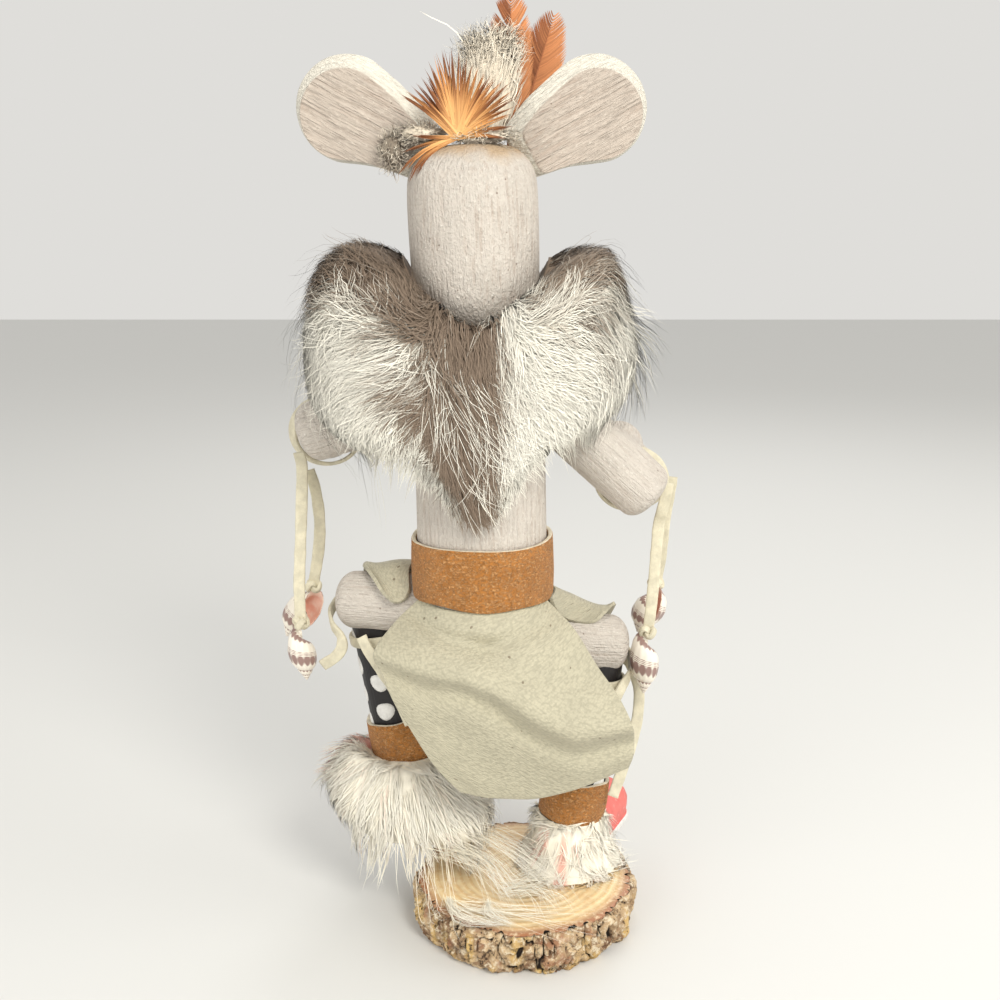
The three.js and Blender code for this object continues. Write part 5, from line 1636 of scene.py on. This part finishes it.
def make_fan(rng, width):
    """The bunch of orange hackles: bundles of barbs that spread from one root and close up to points."""
    root = np.array([-3.4, -9.4, CROWN + 0.9])
    # Each bundle's lean from upright, its reach, and how far it bends on its way.
    bundles = [(-114, 19, -16), (-106, 20, -14), (-97, 16.5, -6), (-90, 13, 4), (86, 14, 8), (76, 16, 6)]
    leans = np.arange(-49, 66, 5.2)
    reaches = 19.5 + 2.6 * np.cos(np.radians(2.2 * leans)) + 1.9 * np.sin(2.3 * leans)
    bundles += [(lean_by, reach, 0.08 * lean_by) for lean_by, reach in zip(leans, reaches)]
    solids = []
    s = np.linspace(0, 1, 6)[None]
    count = 15
    for lean_by, reach, bend in bundles:
        angle = np.radians(lean_by + rng.normal(0, 3.1, (count, 1)) * (1 - 0.84 * s) + bend * s ** 2)
        far = reach * rng.uniform(0.72, 1.0, (count, 1)) * s
        x = far * np.sin(angle) + rng.normal(0, 0.35, (count, 1)) * (1 - s)
        z = far * np.cos(angle) + rng.normal(0, 0.25, (count, 1)) * (1 - s)
        y = -1.2 * s - (rng.uniform(-1.6, 1.8) + rng.normal(0, 0.25, (count, 1))) * s ** 1.4
        lines = stacked(x, y, z)
        tone = np.clip(rng.uniform(-0.1, 0.35) + rng.normal(0, 0.1, (count, 1)) + 0.55 * smooth(s, 0.35, 1.0), 0, 1)
        marks = marked(s, tone, rng.uniform(0, 1, (count, 1)), (0.0, -0.9, 0.44))
        wide = 1.35 * width * (1.15 - 0.8 * s) * rng.uniform(0.7, 1.2, (count, 1))
        solids.append(tufts(on_head(lines + root), wide, marks))
    put_hair("hackle_fan", joined(*solids), hackle_barbs(), ["feather_fan"])


UPWARD = np.array([0, -0.28, 0.64])     # down is lit from above, so its coat is turned up


def down_ball(rng, centre, half, count, tone, width, low=0.0):
    """Down round a centre: curly hairs from an inner shell outwards, bent by two slow waves.

    `low` darkens the hairs at the ball's foot."""
    way = unit(rng.normal(0, 1, (count, 1, 3)))
    s = np.linspace(0, 1, 6)[None, :, None]
    half = np.array(half, float)
    start = way * half * rng.uniform(0.5, 0.8, (count, 1, 1))
    reach = way * half * rng.uniform(0.15, 0.6, (count, 1, 1))
    phase = rng.uniform(0, 6.28, (count, 1, 3))
    curl = np.sin(s * rng.uniform(3, 7, (count, 1, 3)) + phase) * 0.17 * half.mean() * s
    lines = centre + start + reach * s + curl
    dark = tone * (1 - 0.8 * s[..., 0]) + low * np.maximum(-way[..., 2], 0) + rng.normal(0, 0.08, (count, 1))
    marks = marked(s[..., 0], np.clip(dark, 0, 1), rng.uniform(0, 1, (count, 1)), unit(0.5 * way + UPWARD))
    wide = width * (1 - 0.75 * s[..., 0]) * rng.uniform(0.6, 1.1, (count, 1))
    return tufts(on_head(lines), wide, marks)


def down_core(centre, half, tone, seed, low=0.0):
    """The matted middle of a ball of down: an ellipsoid ruffled by noise."""
    polar = np.linspace(8, 172, 22)[:, None]
    way = around(np.sin(np.radians(polar)), np.arange(30)[None] * 12.0, -np.cos(np.radians(polar)))
    rings = np.array(centre) + way * half * (0.60 + 0.14 * cloud(way * 9, 2.2, seed)[..., None])
    foot, top = np.array(centre, float), np.array(centre, float)
    foot[2] -= 0.6 * half[2]
    top[2] += 0.6 * half[2]
    points, faces = capped(rings, foot, top)
    ways = np.concatenate([way.reshape(-1, 3), [(0, 0, -1.0)], [(0, 0, 1.0)]])
    dark = np.clip(tone + low * np.maximum(-ways[:, 2], 0) + 0.15 * cloud(points, 1.5, seed), 0, 1)
    return on_head(points), faces, marked(0.35, dark, 0.5 + 0.4 * cloud(points, 0.8, seed), unit(0.5 * ways + UPWARD))


def make_plume(rng, width):
    """The tall pale plume: a lean core, soft streaks up its sides, and frizz that curls over its top."""
    foot = np.array([3.2, 7.6, CROWN + 0.4])
    count = 1150
    s = np.linspace(0, 1, 6)[None, :, None]
    angle = rng.uniform(0, 2 * math.pi, (count, 1))
    out = 0.55 + 0.45 * rng.uniform(0, 1, (count, 1))
    start_height = 28 * rng.uniform(0, 1, (count, 1)) ** 0.8
    swell = 0.60 + 0.40 * np.sin(math.pi * np.clip(start_height / 30, 0, 1))
    x0 = 0.11 * start_height + 10.0 * out * np.cos(angle) * swell
    y0 = 3.0 * out * np.sin(angle) * swell
    reach = rng.uniform(4.5, 9.0, (count, 1))
    flow = np.stack([0.16 + 0.30 * out * np.cos(angle), 0.22 * np.sin(angle), 0.9 + 0 * angle], axis=-1)
    top = smooth(start_height, 16, 27)[..., None]
    curl = np.sin(s * rng.uniform(2, 6, (count, 1, 3)) + rng.uniform(0, 6.28, (count, 1, 3))) * (0.5 + 1.4 * top) * s
    lines = np.stack([x0, y0, start_height], axis=-1) + flow * reach[..., None] * s * (1 - 0.35 * top) + curl
    tone = np.clip(0.22 * (1 - start_height / 16) + rng.normal(0.06, 0.08, (count, 1)), 0, 0.6)
    coat = np.stack([0.5 * np.cos(angle), 0.5 * np.sin(angle), 0 * angle], axis=-1)
    marks = marked(0.3 + 0.7 * s[..., 0], tone, rng.uniform(0, 1, (count, 1)), unit(coat + UPWARD))
    wide = width * 0.85 * (1 - 0.8 * s[..., 0]) * rng.uniform(0.6, 1.2, (count, 1))
    strays = through([[(0, 0, 22), (-5, -1, 28), (-7, -2, 31), (-12, -2, 33.5), (-16.5, -2, 36)],
                      [(-6, -2, 8), (-9, -3, 10), (-11, -3, 9), (-12, -3, 12), (-13.5, -3, 12.5)],
                      [(4, 0, 20), (9, -1, 18), (11, -2, 14), (9, -2, 12), (11, -2, 9)]], np.linspace(0, 1, 6))
    stray_marks = marked(np.full(strays.shape[:2], 0.8), 0.02, 0.9, (0, -0.9, 0.4))
    stray_wide = np.tile(width * (1.1 - 0.6 * s[0, :, 0])[None], (len(strays), 1))
    frizz = down_ball(rng, foot + np.array([3.6, 0, 26]), (10.6, 3.6, 7.0), 620, 0.10, width * 0.75)
    core = down_core(foot + np.array([2.2, 0, 15.5]), (12.0, 4.4, 21.5), 0.06, 51)
    put_hair("plume_down", joined(core, tufts(on_head(lines + foot), wide, marks),
                                  tufts(on_head(strays + foot), stray_wide, stray_marks), frizz),
             down_hair(), ["fluff_plume"])


def make_vane(name, root, side_lean, long, half_width, rng, stands_for, splits):
    """A flat feather: a quill, and barbs that leave it at a slant and end on the outline of a rounded leaf.

    The outline's half width is full up to 0.6 of the length and falls from there as a quarter ellipse. At a
    split the barbs' ends part."""
    barbs = 130
    t = np.linspace(0.16, 0.995, barbs)[:, None]
    s = np.linspace(0, 1, 5)[None]
    solids = []
    for side in (-1, 1):
        spread = half_width * (0.45 + 0.55 * smooth(t, 0.1, 0.5)) * np.sqrt(1 - np.clip((t - 0.6) / 0.4, 0, 1) ** 2)
        spread = spread * (1 + 0.03 * np.sin(34 * t + side)) + 0.15
        end = t
        for where, at, parted in splits:
            if where == side:
                end = end + parted * np.sign(t - at) * np.exp(-np.abs(t - at) / 0.04)
        start = t * long - spread / math.tan(math.radians(37))
        x = side * spread * s ** 0.85
        z = start + (end * long - start) * s ** 1.12 + rng.normal(0, 0.12, (barbs, 1)) * s
        y = 0.9 * (x / half_width) ** 2 + rng.normal(0, 0.05, (barbs, 1)) * s - 1.5 * (z / long) ** 2
        lines = stacked(x, y, z)
        tone = 0.30 + 0.22 * side * -1 + 0.35 * smooth(t, 0.75, 1.0) * s + rng.normal(0, 0.16, (barbs, 1))
        marks = marked(s, np.clip(tone, 0, 1), rng.uniform(0, 1, (barbs, 1)), (0.15 * side, -0.95, 0.2))
        wide = 0.46 * (1 - 0.45 * s) * np.ones((barbs, 1))
        solids.append(tufts(tilted(lines, root, side_lean), wide, marks))
    quill = np.stack([0 * s[0], -1.5 * s[0] ** 2 - 0.15, s[0] * long * 0.97], axis=-1)[None]
    marks = marked(np.full((1, 5), 0.9), 0.55, 0.7, (0, -1.0, 0.2))
    solids.append(tufts(tilted(quill, root, side_lean), 0.7 * (1 - 0.8 * s), marks))
    put_hair(name, joined(*solids), brown_barbs(), [stands_for])


def make_feathers():
    """Fan, plume, tufts of down and the two brown feathers on the head's top."""
    width = mm(bpy.context.scene.doll_fur.hair_width)
    rng = np.random.default_rng(5)
    make_fan(rng, width)
    make_plume(rng, width)
    make_vane("brown_feather_mid_barbs", (10.6, 12.2, CROWN - 1.6), 3, 43.5, 6.8, rng, "brown_feather_mid",
              [(-1, 0.90, 0.030), (1, 0.88, 0.025)])
    make_vane("brown_feather_right_barbs", (12, 13.9, CROWN - 2.8), 19, 41.5, 6.9, rng, "brown_feather_right",
              [(1, 0.52, 0.03), (1, 0.62, 0.02)])
    # Balls of down: centre, half sizes, hairs, how dark the core is, and how dark its foot.
    balls = [((-21.8, -6.4, CROWN - 2.0), (4.8, 3.2, 6.4), 400, 0.60, 0.25),
             ((-13.0, -6.0, CROWN + 2.4), (9.0, 3.0, 3.8), 340, 0.20, 0.5),
             ((3.6, -8.0, CROWN + 0.6), (10.0, 3.4, 4.0), 300, 0.30, 0.8)]
    solids = []
    for seed, (centre, half, count, tone, low) in enumerate(balls):
        solids.append(down_ball(rng, np.array(centre), half, count, tone, width * 0.85, low=low))
        solids.append(down_core(centre, half, tone, 61 + seed, low))
    put_hair("tuft_down", joined(*solids), down_hair(), ["fluff_tuft_left"])


# ---- stage

def area_light(name, at, target, size, power, tint):
    """A round lamp that looks at its target."""
    light = bpy.data.lights.new(name, "AREA")
    light.shape = "DISK"
    light.size = size
    light.energy = power
    light.color = tint
    lamp = add(name, light)
    look = np.array(target, float) - np.array(at, float)
    lamp.location = at
    lamp.rotation_euler = (math.acos(-look[2] / np.linalg.norm(look)), 0,
                           math.atan2(look[1], look[0]) - math.pi / 2)


EYE = (-0.0084, -0.344, 0.223)
EYE_PITCH = 76.6      # degrees from straight down
FOCAL_LENGTH = 41.4
FLOOR_HALF = 2.5
LAMPS = {             # place, width, power, tint
    "key_light": ((0.30, -0.62, 0.66), 0.34, 5.0, (1.0, 0.975, 0.91)),
    "fill_light": ((-0.60, -0.66, 0.34), 0.7, 2.5, (1.0, 0.98, 0.93)),
    "side_light": ((0.80, -0.15, 0.40), 0.6, 2.0, (1.0, 0.98, 0.93)),
    "back_light": ((0.20, 0.75, 0.75), 0.5, 1.6, (1.0, 1.0, 1.0)),
}


def make_stage():
    """A pale floor, a big soft light above and in front, weaker ones at the sides, and the camera."""
    half = FLOOR_HALF
    mesh = bpy.data.meshes.new("floor")
    mesh.from_pydata([(-half, -half, 0), (half, -half, 0), (half, half, 0), (-half, half, 0)], [], [(0, 1, 2, 3)])
    mesh.materials.append(floor_finish())
    add("floor", mesh)
    for name, (at, width, power, tint) in LAMPS.items():
        area_light(name, at, (-0.01, 0, 0.13), width, power, tint)
    world = bpy.data.worlds.new("studio")
    world.use_nodes = True
    sky = world.node_tree.nodes["Background"].inputs
    sky["Color"].default_value = (1.0, 0.985, 0.95, 1)
    sky["Strength"].default_value = 0.74
    bpy.context.scene.world = world
    bpy.context.scene.view_settings.view_transform = "Standard"
    lens = bpy.data.cameras.new("camera")
    lens.sensor_width = 36
    lens.lens = FOCAL_LENGTH
    lens.clip_start = 0.01
    camera = add("camera", lens)
    camera.location = EYE
    camera.rotation_euler = (math.radians(EYE_PITCH), 0, 0)
    bpy.context.scene.camera = camera


# ---- operators and panel

class DOLL_OT_stage(bpy.types.Operator):
    """Set up the floor, the lights and the camera."""

    bl_idname = "doll.stage"
    bl_label = "Stage"

    def execute(self, context):
        make_stage()
        return {"FINISHED"}


class DOLL_OT_slab(bpy.types.Operator):
    """Build the slab of branch wood with its bark."""

    bl_idname = "doll.slab"
    bl_label = "Slab"

    def execute(self, context):
        make_base()
        return {"FINISHED"}


class DOLL_OT_body(bpy.types.Operator):
    """Build the turned torso and head, and the two ears."""

    bl_idname = "doll.body"
    bl_label = "Torso, head and ears"

    def execute(self, context):
        make_body()
        make_ears()
        return {"FINISHED"}


class DOLL_OT_limbs(bpy.types.Operator):
    """Build the arms and legs with the painted dots and the moccasins."""

    bl_idname = "doll.limbs"
    bl_label = "Arms and legs"

    def execute(self, context):
        make_limbs()
        return {"FINISHED"}


class DOLL_OT_thongs(bpy.types.Operator):
    """Tie the thongs round elbows and knees, and hang the shells on them."""

    bl_idname = "doll.thongs"
    bl_label = "Thongs and shells"

    def execute(self, context):
        make_thongs()
        return {"FINISHED"}


class DOLL_OT_leather(bpy.types.Operator):
    """Put on the suede belt and cuffs and the two leather aprons."""

    bl_idname = "doll.leather"
    bl_label = "Belt, cuffs and aprons"

    def execute(self, context):
        make_suede()
        make_aprons()
        return {"FINISHED"}


class DOLL_OT_fur(bpy.types.Operator):
    """Comb the fur of the mantle and the anklets."""

    bl_idname = "doll.fur"
    bl_label = "Fur"

    def execute(self, context):
        make_mantle()
        make_anklets()
        return {"FINISHED"}


class DOLL_OT_feathers(bpy.types.Operator):
    """Stand the feathers and the down on the head."""

    bl_idname = "doll.feathers"
    bl_label = "Feathers"

    def execute(self, context):
        make_feathers()
        return {"FINISHED"}


STEPS = (DOLL_OT_stage, DOLL_OT_thongs, DOLL_OT_slab, DOLL_OT_body, DOLL_OT_limbs, DOLL_OT_leather, DOLL_OT_fur,
         DOLL_OT_feathers)


class DOLL_PT_panel(bpy.types.Panel):
    """The doll's sizes, finishes and building steps."""

    bl_idname = "DOLL_PT_panel"
    bl_label = "Kachina doll"
    bl_space_type = "VIEW_3D"
    bl_region_type = "UI"
    bl_category = "Doll"

    def draw(self, context):
        for step in STEPS:
            self.layout.operator(step.bl_idname)
        for group in (context.scene.doll_sizes, context.scene.doll_finishes, context.scene.doll_fur):
            for key in group.bl_rna.properties.keys():
                if key not in {"rna_type", "name"}:
                    self.layout.prop(group, key)


CLASSES = (DollSizes, DollFinishes, DollFur, *STEPS, DOLL_PT_panel)


def register():
    for cls in CLASSES:
        bpy.utils.register_class(cls)
    bpy.types.Scene.doll_sizes = PointerProperty(type=DollSizes)
    bpy.types.Scene.doll_finishes = PointerProperty(type=DollFinishes)
    bpy.types.Scene.doll_fur = PointerProperty(type=DollFur)


def unregister():
    del bpy.types.Scene.doll_fur
    del bpy.types.Scene.doll_finishes
    del bpy.types.Scene.doll_sizes
    for cls in reversed(CLASSES):
        bpy.utils.unregister_class(cls)


def main():
    register()
    for step in STEPS:
        family, action = step.bl_idname.split(".")
        getattr(getattr(bpy.ops, family), action)()


if __name__ == "__main__":
    main()
